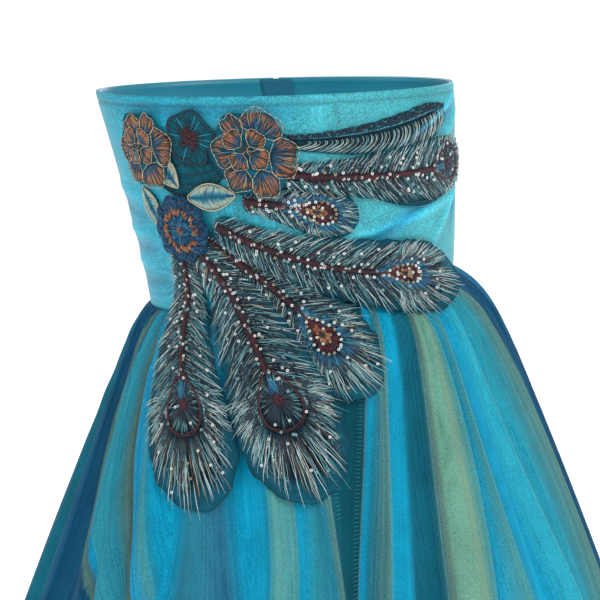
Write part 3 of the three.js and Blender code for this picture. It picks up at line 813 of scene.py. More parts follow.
def addBodice():
    satin = Finish("satin", Roughness=0.33, Sheen_Weight=0.3, Specular_IOR_Level=0.5)
    weave = satin.threads(0.0007)
    cloud = satin.noise(18)
    colour = satin.mix(cloud, linear(18, 132, 158), linear(34, 160, 186))
    colour = satin.tinted(colour, 0.94 + weave * 0.1)
    satinMaterial = satin.done(Base_Color=colour, Normal=satin.bump(weave, 0.15, 0.0002))
    sheen = {"Sheen_Weight": 0.10, "Sheen_Roughness": 0.35}
    net = Finish("net over satin", Roughness=0.5, Specular_IOR_Level=0.4, **sheen)
    slub = net.noise(360, 3.0, (0.12, 1.0))
    cloud = net.noise(32, 4.0)
    fleck = net.noise(860, 2.0)
    amount = cloud * 0.55 + fleck * 2.20 + slub * 1.50 - 1.07
    netMaterial = net.done(
        Base_Color=net.tinted(net.painted("cloth"), amount),
        Normal=net.bump(fleck + slub, 0.4, 0.0005),
    )
    zipTrim = math.degrees(form["zipHalfWidth"] / form["waistHalfWidth"])
    panels = [
        ("front", -89.93, 89.93, (0.43, 0.19), 0.065),
        ("back_left", 90.07, 180 - zipTrim, (0.20, 0.19), 0.030),
        ("back_right", 180 + zipTrim, 269.93, (0.20, 0.19), 0.030),
    ]
    for name, low, high, flat, area in panels:
        angle, rise = np.meshgrid(
            np.radians(np.linspace(low, high, int((high - low) * bodice["columnsPerDegree"]))),
            np.linspace(0, 1, bodice["rows"]),
        )
        relief, blue, stitched = bodiceCreases(angle, rise)
        face = bodicePoint(angle, rise)
        plan = np.stack([angle * 0.14, rise * form["topRise"]], -1)
        out = gridNormals(face)
        roll = np.clip((rise - 1) / bodice["rollShare"] + 1, 0, 1) ** 2 * bodice["rollDepth"]
        coarse = tuple(np.unique(np.append(np.arange(0, n, 3), n - 1)) for n in angle.shape)
        satinPlaces = (face - out * roll[..., None])[np.ix_(*coarse)]
        piece = addWall(
            f"bodiceSatin_{name}", satinPlaces, -bodice["satinInset"] - bodice["satinThickness"],
            -bodice["satinInset"], satinMaterial, plan=plan[np.ix_(*coarse)],
        )
        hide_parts(f"bodice_{name}")
        right, left, single = (np.array(tone) for tone in bodice["tones"])
        # Partly painted light: the wearer's left side is paler where the net bunches, and also as painted
        # light from the side the key lamp is on.
        colour = right + (left - right) * smoothStep(0.6 + 0.7 * np.sin(angle) * np.cos(angle / 2))[..., None]
        colour = colour + (single - colour) * blue[..., None]
        # Painted highlight and shade: the net is lighter along crease ridges and darker in crease troughs and
        # the stitch groove.
        colour = colour * (1 + 0.50 * np.clip(relief / 0.002, -1.2, 1.5))[..., None]
        # Painted shade in the groove along the stitch line below the top edge.
        colour = colour * (1 - 0.22 * stitched)[..., None]
        piece = addWall(
            f"bodiceNet_{name}", face + out * (relief - roll)[..., None], -bodice["netThickness"], 0.0,
            netMaterial, colour, plan=plan,
        )
        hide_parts(f"bodice_net_{name}")
    print("bodice made")


# The zip
zipper = {
    "tapeHalfWidth": 0.012,
    "tapeInset": 0.0017,
    "tapeThickness": 0.0008,
    "depth": 0.0017,
    "bendLength": 0.008,
    "top": 0.1652,
    "foot": -0.0767,
    "toothPitch": 0.0011,
    "tooth": (0.0011, 0.0005, 0.00034),  # half sizes across, out and up
    "toothInset": 0.00075,
    "toothStagger": 0.00045,
}


def zipFace(across, height):
    # Inside the bodice's backs, and below the waist the outer face of the lining.
    angle = math.pi + across / form["waistHalfWidth"]
    outward = np.stack([np.sin(angle), -np.cos(angle), np.zeros_like(angle)], -1)
    bend = np.exp(-np.clip(height, 0, None) / zipper["bendLength"])
    inset = zipper["depth"] + (2 * form["layerPitch"] - zipper["depth"]) * bend
    above = bodicePoint(angle, np.clip(height, 0, None) / form["topRise"]) - outward * inset[..., None]
    fall = np.clip(-height, 0, None) / form["skirtLength"]
    below = skirtPoint(angle, fall, liningInset(angle, fall))
    return np.where((height < 0)[..., None], below, above)


def addZip():
    tape = Finish("zip tape", Roughness=0.75, Sheen_Weight=0.2)
    weave = tape.threads(0.0009)
    colour = tape.tinted(linear(14, 118, 146), 0.8 + weave * 0.3)
    tapeMaterial = tape.done(Base_Color=colour, Normal=tape.bump(weave, 0.4, 0.0003))
    height, across = np.meshgrid(
        np.linspace(zipper["foot"], zipper["top"], 90),
        np.linspace(-1, 1, 9) * zipper["tapeHalfWidth"], indexing="ij",
    )
    grid = zipFace(across, height)
    outer = -zipper["tapeInset"]
    piece = addWall(
        "zipTape", grid, outer - zipper["tapeThickness"], outer, tapeMaterial,
        plan=np.stack([across, height], -1),
    )
    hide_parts("zip_tape")

    tooth = Finish("zip teeth", Roughness=0.35, Specular_IOR_Level=0.5)
    shade = tooth.noise(900)
    colour = tooth.mix(shade, linear(10, 104, 132), linear(26, 132, 160))
    toothMaterial = tooth.done(Base_Color=colour)
    height = np.arange(zipper["foot"] + 0.001, zipper["top"] - 0.002, zipper["toothPitch"] / 2)
    side = np.where(np.arange(len(height)) % 2, 1.0, -1.0)
    middle = zipFace(side * zipper["toothStagger"], height)
    outward = middle * (1, 1, 0) / np.linalg.norm(middle[:, :2], axis=1)[:, None]
    middle = middle - outward * zipper["toothInset"]
    acrossHalf, outHalf, upHalf = zipper["tooth"]
    corners = np.array([(x, y, z) for x in (-1, 1) for y in (-1, 1) for z in (-1, 1)])
    sideways = np.cross((0, 0, 1), outward)
    points = middle[:, None] + corners[:, :1] * acrossHalf * sideways[:, None]
    points = points + corners[:, 1:2] * outHalf * outward[:, None]
    points = points + corners[:, 2:] * upHalf * np.array((0, 0, 1))
    faces = np.array([(0, 1, 3, 2), (4, 6, 7, 5), (0, 4, 5, 1), (2, 3, 7, 6), (0, 2, 6, 4), (1, 5, 7, 3)])
    quads = (np.arange(len(middle))[:, None, None] * 8 + faces).reshape(-1, 4)
    piece = addObject("zipTeeth", points, quads, toothMaterial)
    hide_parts("zip_chain")

    metal = Finish("zip metal", Metallic=1.0)
    wear = metal.noise(260, 4.0)
    metalMaterial = metal.done(
        Base_Color=metal.mix(wear, linear(150, 152, 156), linear(196, 198, 200)),
        Roughness=0.22 + wear * 0.2,
        Normal=metal.bump(wear, 0.1, 0.0002),
    )
    for name in ("zip_slider", "zip_pull"):
        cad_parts[name].data.materials[0] = metalMaterial
    print("zip made")


# The spray's carrier
spray = {
    "bridgeTop": 0.028,
    "bridgeFoot": 0.030,
    "widening": 0.2,
    "lift": 0.0009,
    "levelPitch": 0.00198,
    "netThickness": 0.0008,
    "looseness": 0.0005,  # threads lie up to this much higher
    "sequinSides": 10,
    "sequinThickness": 0.0004,
    "sequinShine": 0.35,
}


def bridgeOut(height, angle):
    # Nothing above the bridge's top, the skirt's outline below its foot, and a smooth cubic between them.
    span = spray["bridgeTop"] + spray["bridgeFoot"]
    share = np.clip((spray["bridgeTop"] - height) / span, 0, 1)
    foot = spray["bridgeFoot"]
    end = flare(foot, angle)
    endSlope = (flare(foot + 0.001, angle) - end) * span / 0.001
    bridge = end * (3 * share ** 2 - 2 * share ** 3) + endSlope * (share ** 3 - share ** 2)
    outline = flare(np.clip(-height, 0, None), angle)
    return np.where(share >= 1, outline, np.where(height < 0, np.maximum(bridge, outline), bridge))


def carrierPoint(across, height):
    # The bodice's face above the waist, and below it the skirt's outline without folds.
    rise = np.clip(height, 0, None) / form["topRise"]
    drop = np.clip(-height, 0, None)
    angle = across / (form["waistHalfWidth"] + form["topExtraWidth"] * rise + spray["widening"] * drop)
    out = bridgeOut(height, angle)
    outward = np.stack([np.sin(angle), -np.cos(angle), np.zeros_like(angle)], -1)
    above = bodicePoint(angle, rise) + outward * out[..., None]
    return np.where((height < 0)[..., None], belowWaist(angle, drop, out), above)


def carrier(across, height):
    # A place on the face that the spray is sewn to, and the direction straight out of it.
    step = 0.0005
    right = carrierPoint(across + step, height) - carrierPoint(across - step, height)
    up = carrierPoint(across, height + step) - carrierPoint(across, height - step)
    normal = np.cross(right, up)
    return carrierPoint(across, height), normal / np.linalg.norm(normal, axis=-1, keepdims=True)


def levelFace(level):
    # How far a patch's outer face stands out from the carrier.
    return spray["lift"] + level * spray["levelPitch"] + spray["netThickness"]


threadTints = {
    "silver": linear(212, 230, 230),
    "frost": linear(140, 188, 192),
    "aqua": linear(86, 158, 168),
    "sand": linear(170, 156, 122),
    "gunmetal": linear(32, 60, 70),
    "ink": linear(14, 34, 50),
    "navy": linear(10, 46, 72),
    "burgundy": linear(82, 18, 38),
    "plum": linear(48, 14, 30),
    "copper": linear(172, 106, 62),
    "amber": linear(188, 120, 72),
    "petalBlue": linear(14, 82, 124),
    "rust": linear(108, 66, 50),
    "cobalt": linear(20, 84, 128),
    "azure": linear(30, 112, 150),
    "cream": linear(206, 192, 158),
    "mint": linear(172, 200, 184),
    "turquoise": linear(40, 150, 176),
    "umber": linear(66, 50, 44),
    "deepTeal": linear(18, 70, 86),
    "sequin": linear(240, 244, 240),
}


def pickTints(blend, count):
    # A colour for each stroke, drawn by the shares in a blend of threads.
    table = np.array([threadTints[name] for name in blend])
    shares = np.array(list(blend.values()))
    return table[draw.choice(len(blend), count, p=shares / sum(shares))]


class Stitching:
    # Threads and sequins of one patch, gathered as arrays and made one mesh at the end.
    def __init__(self, level):
        self.face = levelFace(level)
        self.points, self.quads, self.tints, self.shines = [], [], [], []
        self.count = 0

    def keep(self, points, quads, tints, shine):
        self.points.append(points.reshape(-1, 3))
        self.quads.append(quads + self.count)
        self.tints.append(tints.reshape(-1, 3))
        self.shines.append(np.full(len(self.points[-1]), shine))
        self.count += len(self.points[-1])

    def strokes(self, places, width, threads, shine=0.0, rise=0.0, taper=0.4):
        # Threads along paths: places is strokes x steps x 2, and threads is a blend or the tints themselves.
        # Each thread arches out of the cloth and narrows towards its ends.
        count, steps = places.shape[:2]
        tints = pickTints(threads, count) if isinstance(threads, dict) else threads
        if tints.ndim == 2:
            tints = np.repeat(tints[:, None], steps, 1)
        tints = tints * draw.uniform(1 - shine, 1 + 0.4 * shine, (count, steps, 1))  # metal thread glints
        arch = np.sin(math.pi * np.linspace(0, 1, steps))
        radius = width / 2 * (taper + (1 - taper) * np.minimum(arch * 1.8, 1))
        base, normal = carrier(places[..., 0], places[..., 1])
        lift = self.face + rise + width * (0.2 + 0.5 * arch)
        lift = lift + draw.uniform(0, spray["looseness"], (count, 1))
        centre = base + normal * lift[..., None]
        along = np.gradient(centre, axis=1)
        along = along / np.linalg.norm(along, axis=-1, keepdims=True).clip(1e-9)
        side = np.cross(along, normal)
        side = side / np.linalg.norm(side, axis=-1, keepdims=True).clip(1e-9)
        points, quads = tubes(centre, side, np.cross(side, along), radius[None, :, None, None], math.pi / 4)
        self.keep(points, quads, np.repeat(tints[:, :, None], 4, 2), shine)

    def sequins(self, places, radius, hole, threads, rise, tilt):
        # Flat rings of four corners turned about their own axes, each tipped a little.
        count, sides = len(places), spray["sequinSides"]
        tints = pickTints(threads, count)
        base, normal = carrier(places[:, 0], places[:, 1])
        lean = normal + draw.normal(0, tilt, (count, 3)) * 0.5
        lean = lean / np.linalg.norm(lean, axis=-1, keepdims=True)
        first = np.cross(lean, (0.3, 0.2, 0.93))
        first = first / np.linalg.norm(first, axis=-1, keepdims=True)
        second = np.cross(lean, first)
        turn = np.arange(sides) * 2 * math.pi / sides
        spoke = np.cos(turn)[:, None] * first[:, None] + np.sin(turn)[:, None] * second[:, None]
        thickness = spray["sequinThickness"]
        profile = [(radius, 0), (radius, thickness), (hole, thickness * 0.6), (hole, 0)]
        centre = base + normal * (self.face + rise + radius * tilt * 0.5)
        corners = [centre[:, None] + spoke * reach + lean[:, None] * height for reach, height in profile]
        index = np.arange(count * sides * 4).reshape(count, sides, 4)
        around = np.roll(index, -1, 1)
        quads = np.stack([index, around, np.roll(around, -1, 2), np.roll(index, -1, 2)], -1).reshape(-1, 4)
        self.keep(np.stack(corners, 2), quads, np.repeat(tints[:, None], sides * 4, 1), spray["sequinShine"])

    def made(self, name, material, slotName):
        points, quads, tints, shines = map(np.concatenate, (self.points, self.quads, self.tints, self.shines))
        return addObject(name + "_threads", points, quads, material, tints, {"shine": shines})


def threadFinish():
    thread = Finish("embroidery thread", Specular_IOR_Level=0.5, Sheen_Weight=0.1)
    shine = thread.number("shine")
    fleck = thread.noise(1500)
    return thread.done(
        Base_Color=thread.tinted(thread.painted("cloth"), 0.75 + fleck * 0.5),
        Metallic=shine * 0.75,
        Roughness=0.55 - shine * 0.3,
        Normal=thread.bump(fleck, 0.3, 0.0002),
    )


def groundFinish(name, stitched=False):
    # Net, or net closely stitched with fine threads that run along the plan's second axis and glint.
    net = Finish(name, Roughness=0.7, Sheen_Weight=0.03, Specular_IOR_Level=0.12)
    grain = net.threads(0.0011, turned=True)
    colour = net.painted("cloth")
    if stitched:
        streak = net.noise(1250, 1.0, (1.0, 0.07))
        glints = (net.noise(1100, 0.0) - 0.46) * 9
        pale = net.mix(glints, linear(36, 84, 98), linear(236, 244, 240))
        share = net.number("stitched")
        colour = net.mix((0.47 - streak) * 14 * share, colour, linear(12, 34, 46))
        colour = net.mix((streak - 0.53) * 14 * share, colour, pale)
    return net.done(
        Base_Color=net.tinted(colour, 0.6 + grain * 0.5 + net.noise(60) * 0.4),
        Alpha=net.number("cover"),
        Normal=net.bump(grain, 0.3, 0.0003),
    )


def patchGround(patch, across, height, tone, cover, finish, area, plan=None, stitched=0.0):
    # A patch's net as a thin wall on the carrier, a little darker and closer along its cut edge.
    point, normal = carrier(across, height)
    inner = spray["lift"] + patch.level * spray["levelPitch"]
    fromEdge = [np.minimum(np.linspace(0, 1, n), 1 - np.linspace(0, 1, n)) * n for n in across.shape]
    rim = np.exp(-np.minimum(fromEdge[0][:, None], fromEdge[1][None, :]) / 0.8)
    numbers = {
        "cover": np.maximum(cover + (0.98 - cover) * rim, stitched),
        "stitched": np.broadcast_to(stitched, across.shape),
    }
    made = addWall(
        patch.name + "_ground", point, inner, inner + spray["netThickness"], finish,
        np.array(tone) * (1 - 0.55 * rim)[..., None], numbers,
        np.stack([across, height], -1) if plan is None else plan, normal,
    )
    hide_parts(patch.name)
    below = ["skirt_net_front"] if height.min() < 0 else []
    ["bodice_net_front"] + below


# Feathers
plume = {
    # name, base and tip as (across, height), bow of the middle, half width, level, the kind of eye, and the
    # share of the spine's way where the eye is
    "feathers": [
        ("feather_1", (-0.004, 0.132), (0.166, 0.146), -0.009, 0.015, 0, "ribs", 0.5),
        ("feather_2", (-0.010, 0.108), (0.192, 0.104), -0.007, 0.024, 1, "drop", 0.80),
        ("feather_3", (-0.036, 0.088), (0.052, 0.066), 0.003, 0.020, 0, "copper", 0.62),
        ("feather_4", (-0.062, 0.072), (0.146, 0.006), -0.012, 0.030, 1, "copper", 0.72),
        ("feather_5", (-0.072, 0.060), (0.046, -0.066), 0.009, 0.028, 0, "copper", 0.68),
        ("feather_6", (-0.082, 0.056), (0.008, -0.138), 0.012, 0.033, 1, "drop", 0.64),
        ("feather_7", (-0.098, 0.056), (-0.056, -0.142), -0.011, 0.033, 0, "drop", 0.61),
    ],
    "quillShare": 0.35,
    "shoulder": 0.78,
    "tipShare": 0.28,
    "endRounding": 0.045,
    "columns": 64,
    "rows": 16,
    "cover": 0.62,
    "tone": linear(12, 92, 114),
    "sway": 0.0004,  # unevenness of the barbs
    "steps": 6,
    "spineClear": 0.0026,  # where barbs start beside the spine
    "overhang": 0.30,  # barbs stick out past the net near the quill
    "barbLengths": (0.70, 1.04),
    "barbLeans": (0.45, 0.95),
    # spacing along the spine on each side, thread width, shine, rise, reach, and threads
    "barbLayers": [
        (0.0015, 0.0009, 0.2, 0.0, 0.92, {"ink": 4, "gunmetal": 3, "deepTeal": 3, "navy": 2}),
        (0.0020, 0.0007, 0.4, 0.0002, 1.04, {"aqua": 3.4, "gunmetal": 2.4, "ink": 3, "umber": 0.6}),
        (0.0019, 0.00052, 0.6, 0.0003, 1.14, {"silver": 8, "frost": 4, "sand": 0.5, "aqua": 1.5}),
    ],
    # the same round the eye: count, thread width, shine, rise, near and far shares of the way out, threads
    "fanLayers": [
        (140, 0.0009, 0.2, 0.0, 0.00, 0.62, {"ink": 4, "gunmetal": 2, "umber": 1.6, "deepTeal": 4}),
        (110, 0.0006, 0.4, 0.0002, 0.06, 0.90, {"aqua": 3, "gunmetal": 2, "ink": 2, "umber": 1}),
        (120, 0.00048, 0.6, 0.0004, 0.14, 1.04, {"silver": 8, "frost": 4, "sand": 0.7}),
    ],
    "fanTurn": 1.95,
    "fanClear": 1.08,  # barbs start this share of the eye's size from its middle
    "fanLengths": (0.80, 1.05),
    "fanLeast": 0.003,
    "fanSquareness": 2.6,
    "fanFullWidth": 0.030,  # half width of a feather with the full count
    "spineWidth": 0.0062,
    "spineThread": 0.0009,
    "spineSpacing": 0.0006,
    "spineSlant": 0.0016,
    "spineThreads": {"burgundy": 5, "plum": 4, "ink": 2},
    "sequin": 0.0012,
    "sequinHole": 0.0005,
    "sequinSpacing": 0.0085,
    "looseSpacing": 0.0048,
    "besideSpine": 0.0022,
    "sequinThreads": {"sequin": 5, "silver": 2, "frost": 2.5, "sand": 1},
}
# The first feather's pale ribs in pairs, and the dark band along its upper edge.
ribs = {
    "pairs": 34,
    "pairGap": 0.008,
    "sweep": 0.016,
    "thread": 0.0006,
    "threads": {"silver": 5, "frost": 4, "sand": 1, "gunmetal": 2},
    "bandStitches": 520,
    "bandShares": (0.62, 0.96),  # of the half width
    "bandHalfStitch": 0.0016,
    "bandThread": 0.0009,
    "bandThreads": {"ink": 4, "navy": 3, "turquoise": 0.7},
}
# Each eye is a drop of a half length and half width. Its rounds of straight stitches have near and far shares
# of that size, count, thread width, rise, shine and threads. Its sequin rings have count, share, radius and
# rise, and its outlines have share, thread width and threads.
eyes = {
    "ribs": {"size": (0.0, 0.0)},
    "copper": {
        "size": (0.0152, 0.0098),
        "rounds": [
            (1.00, 1.75, 200, 0.0008, 0.0005, 0.1, {"cobalt": 4, "azure": 4, "turquoise": 2, "navy": 2}),
            (0.45, 0.98, 130, 0.0009, 0.0006, 0.1, {"burgundy": 3, "plum": 2}),
            (0.10, 0.50, 70, 0.0009, 0.0009, 0.1, {"copper": 4, "sand": 1.5, "rust": 2}),
            (0.00, 0.22, 24, 0.0010, 0.0013, 0.1, {"ink": 3, "navy": 1}),
        ],
        "sequinRings": [(20, 1.02, 0.0012, 0.0012), (7, 0.50, 0.0011, 0.0015)],
    },
    "drop": {
        "size": (0.0225, 0.0155),
        "rounds": [
            (0.00, 0.96, 130, 0.0010, 0.0003, 0.1, {"ink": 4, "navy": 2, "gunmetal": 2}),
            (0.50, 0.97, 70, 0.0006, 0.0006, 0.5, {"frost": 2, "aqua": 3, "gunmetal": 3}),
            (0.00, 0.26, 50, 0.0009, 0.0009, 0.1, {"burgundy": 3, "plum": 2}),
        ],
        "outlines": [(1.0, 0.0010, {"burgundy": 1}), (1.06, 0.0009, {"plum": 1})],
        "quillStitches": 20,
        "quillThreads": {"azure": 4, "cobalt": 2, "turquoise": 1},
    },
}


class Feather:
    # The plan of one feather on the carrier: a spine on a quadratic curve, and the half width along it.
    def __init__(self, name, base, tip, bow, halfWidth, level, kind, eyeShare):
        self.name, self.level, self.kind = name, level, kind
        self.halfWidth, self.eyeShare = halfWidth, eyeShare
        self.base, self.tip = np.array(base), np.array(tip)
        self.length = float(np.linalg.norm(self.tip - self.base))
        forward = (self.tip - self.base) / self.length
        self.middle = (self.base + self.tip) / 2 + np.array([-forward[1], forward[0]]) * 2 * bow
        self.eyeSize = eyes[kind]["size"]

    def at(self, share):
        # The place at a share of the spine's way, and the directions along and aside of the spine.
        t = np.asarray(share)[..., None]
        place = (1 - t) ** 2 * self.base + 2 * t * (1 - t) * self.middle + t ** 2 * self.tip
        along = 2 * (1 - t) * (self.middle - self.base) + 2 * t * (self.tip - self.middle)
        along = along / np.linalg.norm(along, axis=-1, keepdims=True)
        return place, along, np.stack([-along[..., 1], along[..., 0]], -1)

    def half(self, share):
        # Narrow at the quill, full from the shoulder, and rounded at the tip.
        quill, shoulder = plume["quillShare"], plume["shoulder"]
        opening = np.sin(math.pi / 2 * np.minimum(share / shoulder, 1)) ** 1.5
        closing = (np.clip(share - shoulder, 0, None) / (1 - shoulder)) ** 2
        return self.halfWidth * (quill + (1 - quill) * opening - (1 - plume["tipShare"]) * closing)

    def roundEye(self, turns, scale):
        # Places round a drop on the eye, pointed towards the quill; scale may differ for each turn.
        long, wide = self.eyeSize
        place, along, aside = self.at(self.eyeShare)
        narrow = 0.80 + 0.32 * np.cos(turns)
        local = np.stack([np.cos(turns) * long * scale, np.sin(turns) * wide * scale * narrow], -1)
        return place + local[..., :1] * along + local[..., 1:] * aside


def barbPaths(feather, count, reach):
    # Barbs leave the spine on both sides, up to the eye, and lean forward unevenly.
    last = feather.eyeShare - 0.3 * feather.eyeSize[0] / feather.length
    share = 0.02 + (last - 0.02) * (np.arange(count) + draw.uniform(-0.7, 0.7, count)).clip(0) / count
    hand = np.where(np.arange(count) % 2, -1.0, 1.0)
    place, along, aside = feather.at(share)
    start = plume["spineClear"] * (1 - 0.6 * share)
    overhang = 1 + plume["overhang"] * (1 - share) ** 2
    width = feather.half(share) * draw.uniform(*plume["barbLengths"], count) * reach * overhang
    steps = np.linspace(0, 1, plume["steps"])
    side = start[:, None] + (width - start)[:, None] * steps
    lean = draw.uniform(*plume["barbLeans"], count) * (1 + 0.4 * share)
    forward = (width - start)[:, None] * lean[:, None] * steps ** 1.25
    sway = draw.normal(0, plume["sway"], (count, plume["steps"], 2))
    sideways = (aside * hand[:, None])[:, None] * side[..., None]
    return place[:, None] + sideways + along[:, None] * forward[..., None] + sway


def fanPaths(feather, count, near, far):
    # Barbs that spread from round the eye out to the feather's edge, a superellipse, and bend towards the
    # feather's tip.
    long, wide = feather.eyeSize
    place, along, aside = feather.at(feather.eyeShare)
    turn = draw.uniform(-plume["fanTurn"], plume["fanTurn"], count)
    inner = plume["fanClear"] / np.hypot(np.cos(turn) / long, np.sin(turn) / wide)
    ahead = np.where(np.cos(turn) > 0, (1 - feather.eyeShare) * feather.length, 1.6 * long)
    wide = max(feather.halfWidth, wide * 1.3)
    power = plume["fanSquareness"]
    outer = (np.abs(np.cos(turn) / ahead) ** power + np.abs(np.sin(turn) / wide) ** power) ** (-1 / power)
    outer = np.maximum(outer * draw.uniform(*plume["fanLengths"], count), inner + plume["fanLeast"])
    steps = np.linspace(near, far, plume["steps"])
    reach = inner[:, None] + (outer - inner)[:, None] * steps
    bent = turn[:, None] * (1.06 - 0.15 * steps)
    sway = draw.normal(0, plume["sway"], (count, plume["steps"], 2))
    forward, sideways = (reach * np.cos(bent))[..., None] * along, (reach * np.sin(bent))[..., None] * aside
    return place + forward + sideways + sway


def stitchBarbs(feather, stitching):
    # Dark layers of barbs first, and the pale ones over them.
    for spacing, width, shine, rise, reach, threads in plume["barbLayers"]:
        count = 2 * int(feather.length * feather.eyeShare / spacing)
        stitching.strokes(barbPaths(feather, count, reach), width, threads, shine, rise)
    for count, width, shine, rise, near, far, threads in plume["fanLayers"]:
        count = int(count * feather.halfWidth / plume["fanFullWidth"])
        stitching.strokes(fanPaths(feather, count, near, far), width, threads, shine, rise)


def stitchSpine(feather, stitching):
    # A satin-stitched rib in burgundy that narrows towards the eye.
    last = feather.eyeShare - 0.8 * feather.eyeSize[0] / feather.length
    count = int(feather.length * last / plume["spineSpacing"])
    share = np.linspace(0.02, last, count)
    place, along, aside = feather.at(share)
    half = plume["spineWidth"] / 2 * (1.1 - 0.75 * share) * draw.uniform(0.75, 1.25, count)
    steps = np.linspace(-1, 1, 3)
    paths = place[:, None] + aside[:, None] * (half[:, None] * steps)[..., None]
    slant = plume["spineSlant"] * steps * np.where(np.arange(count) % 2, 1, -1)[:, None]
    paths = paths + along[:, None] * slant[..., None]
    stitching.strokes(paths, plume["spineThread"], plume["spineThreads"], 0.1, 0.0007)


def stitchEye(feather, stitching):
    # Rounds of straight stitches, and then rings of sequins or two uneven outlines.
    eye = eyes[feather.kind]
    for near, far, count, width, rise, shine, threads in eye["rounds"]:
        turn = draw.uniform(0, 2 * math.pi, count)
        inner = near * draw.uniform(0.85, 1.15, count)
        outer = far * draw.uniform(0.9, 1.1, count)
        scale = inner[:, None] + (outer - inner)[:, None] * np.linspace(0, 1, 3)
        paths = feather.roundEye(np.repeat(turn[:, None], 3, 1), scale)
        stitching.strokes(paths, width, threads, shine, rise)
    for count, scale, radius, rise in eye.get("sequinRings", []):
        places = feather.roundEye(np.arange(count) * 2 * math.pi / count + 0.1, scale)
        stitching.sequins(places, radius, radius * 0.4, {"sequin": 5, "sand": 3, "copper": 1}, rise, 0.2)
    for scale, width, threads in eye.get("outlines", []):
        turn = np.linspace(0, 2 * math.pi, 49)[None, :]
        lumpy = scale + 0.012 * np.sin(turn * 9 + scale * 40)
        stitching.strokes(feather.roundEye(turn, lumpy), width, threads, 0.1, 0.0008, 1.0)
    if "quillStitches" in eye:
        # blue stitches that spread from the eye's point
        count = eye["quillStitches"]
        share = feather.eyeShare - draw.uniform(0.62, 0.88, count) * feather.eyeSize[0] / feather.length
        place, along, aside = feather.at(share)
        side = draw.uniform(-1, 1, count)
        steps = np.linspace(0, 1, 4)
        paths = place[:, None] + along[:, None] * (0.011 * steps)[None, :, None]
        paths = paths + aside[:, None] * (side[:, None] * (0.0008 + 0.0026 * steps))[..., None]
        stitching.strokes(paths, 0.0009, eye["quillThreads"], 0.2, 0.0011)


def stitchRibs(feather, stitching):
    # Long paired ribs that curve forward on bare net, and a close band of dark stitches along the upper edge.
    share = np.repeat(np.linspace(0.06, 0.9, ribs["pairs"]), 2) + np.tile([0, ribs["pairGap"]], ribs["pairs"])
    place, along, aside = feather.at(share)
    steps = np.linspace(0, 1, 8)
    side = (-0.95 + 1.25 * steps) * feather.half(share)[:, None]
    forward = ribs["sweep"] * np.sin(steps * 1.9)[None, :] * (1 - 0.4 * share)[:, None]
    paths = place[:, None] + aside[:, None] * side[..., None] + along[:, None] * forward[..., None]
    stitching.strokes(paths, ribs["thread"], ribs["threads"], 0.7, 0.0002)
    count = ribs["bandStitches"]
    share = draw.uniform(0.02, 0.985, count)
    place, along, aside = feather.at(share)
    middle = place + aside * (feather.half(share) * draw.uniform(*ribs["bandShares"], count))[:, None]
    slant = draw.uniform(-1.2, 1.2, count)
    direction = along * np.cos(slant)[:, None] + aside * np.sin(slant)[:, None]
    stitch = ribs["bandHalfStitch"] * np.linspace(-1, 1, 3)
    paths = middle[:, None] + direction[:, None] * stitch[None, :, None]
    stitching.strokes(paths, ribs["bandThread"], ribs["bandThreads"], 0.1, 0.0002)


def scatterSequins(feather, stitching):
    # Two uneven rows along the spine and a loose scatter over the barbs.
    rows = 2 * int(feather.length * 0.62 / plume["sequinSpacing"])
    loose = int(feather.length / plume["looseSpacing"])
    inRows = np.linspace(0.08, feather.eyeShare - 0.10, rows) + draw.normal(0, 0.007, rows)
    share = np.concatenate([inRows, draw.uniform(0.06, 0.92, loose)])
    count = rows + loose
    place, _, aside = feather.at(share)
    beside = np.where(np.arange(count) % 2, 1, -1) * plume["besideSpine"] + draw.normal(0, 0.0024, count)
    off = np.where(np.arange(count) < rows, beside, draw.uniform(-0.8, 0.8, count) * feather.half(share))
    places = place + aside * off[:, None]
    stitching.sequins(places, plume["sequin"], plume["sequinHole"], plume["sequinThreads"], 0.0013, 0.25)


def featherGround(feather, material):
    # The net under a feather, rounded off at both ends, with a plan that runs along its barbs.
    share = 0.5 - 0.5 * np.cos(math.pi * np.linspace(0, 1, plume["columns"]))
    side = np.linspace(-1, 1, plume["rows"])[:, None]
    place, _, aside = feather.at(share)
    ends = np.minimum(np.minimum(share, 1 - share) / plume["endRounding"], 1)
    half = feather.half(share) * np.sqrt(np.clip(1 - (1 - ends) ** 2, 0.02, 1))
    half = half * (1 + 0.03 * np.sin(share * 61) + 0.02 * np.sin(share * 140))
    across = place[:, 0] + aside[:, 0] * side * half
    height = place[:, 1] + aside[:, 1] * side * half
    out = np.abs(side) * half
    plan = np.stack([share * feather.length - out * 0.9, out + 0 * share], -1)
    stitched = np.clip((0.80 - np.abs(side)) / 0.25, 0, 1) * np.clip((0.93 - share) / 0.08, 0, 1)
    flat = (2.05 * feather.halfWidth, feather.length * 1.03)
    patchGround(
        feather, across, height, plume["tone"], plume["cover"], material,
        0.76 * flat[0] * flat[1], plan, stitched * (0.45 if feather.kind == "ribs" else 1.0),
    )


def addFeathers(threadMaterial, groundMaterial):
    for row in plume["feathers"]:
        feather = Feather(*row)
        featherGround(feather, groundMaterial)
        stitching = Stitching(feather.level)
        if feather.kind == "ribs":
            stitchRibs(feather, stitching)
        else:
            stitchBarbs(feather, stitching)
            stitchSpine(feather, stitching)
            stitchEye(feather, stitching)
            scatterSequins(feather, stitching)
        stitching.made(feather.name, threadMaterial, "motif_net")
    print("feathers made")


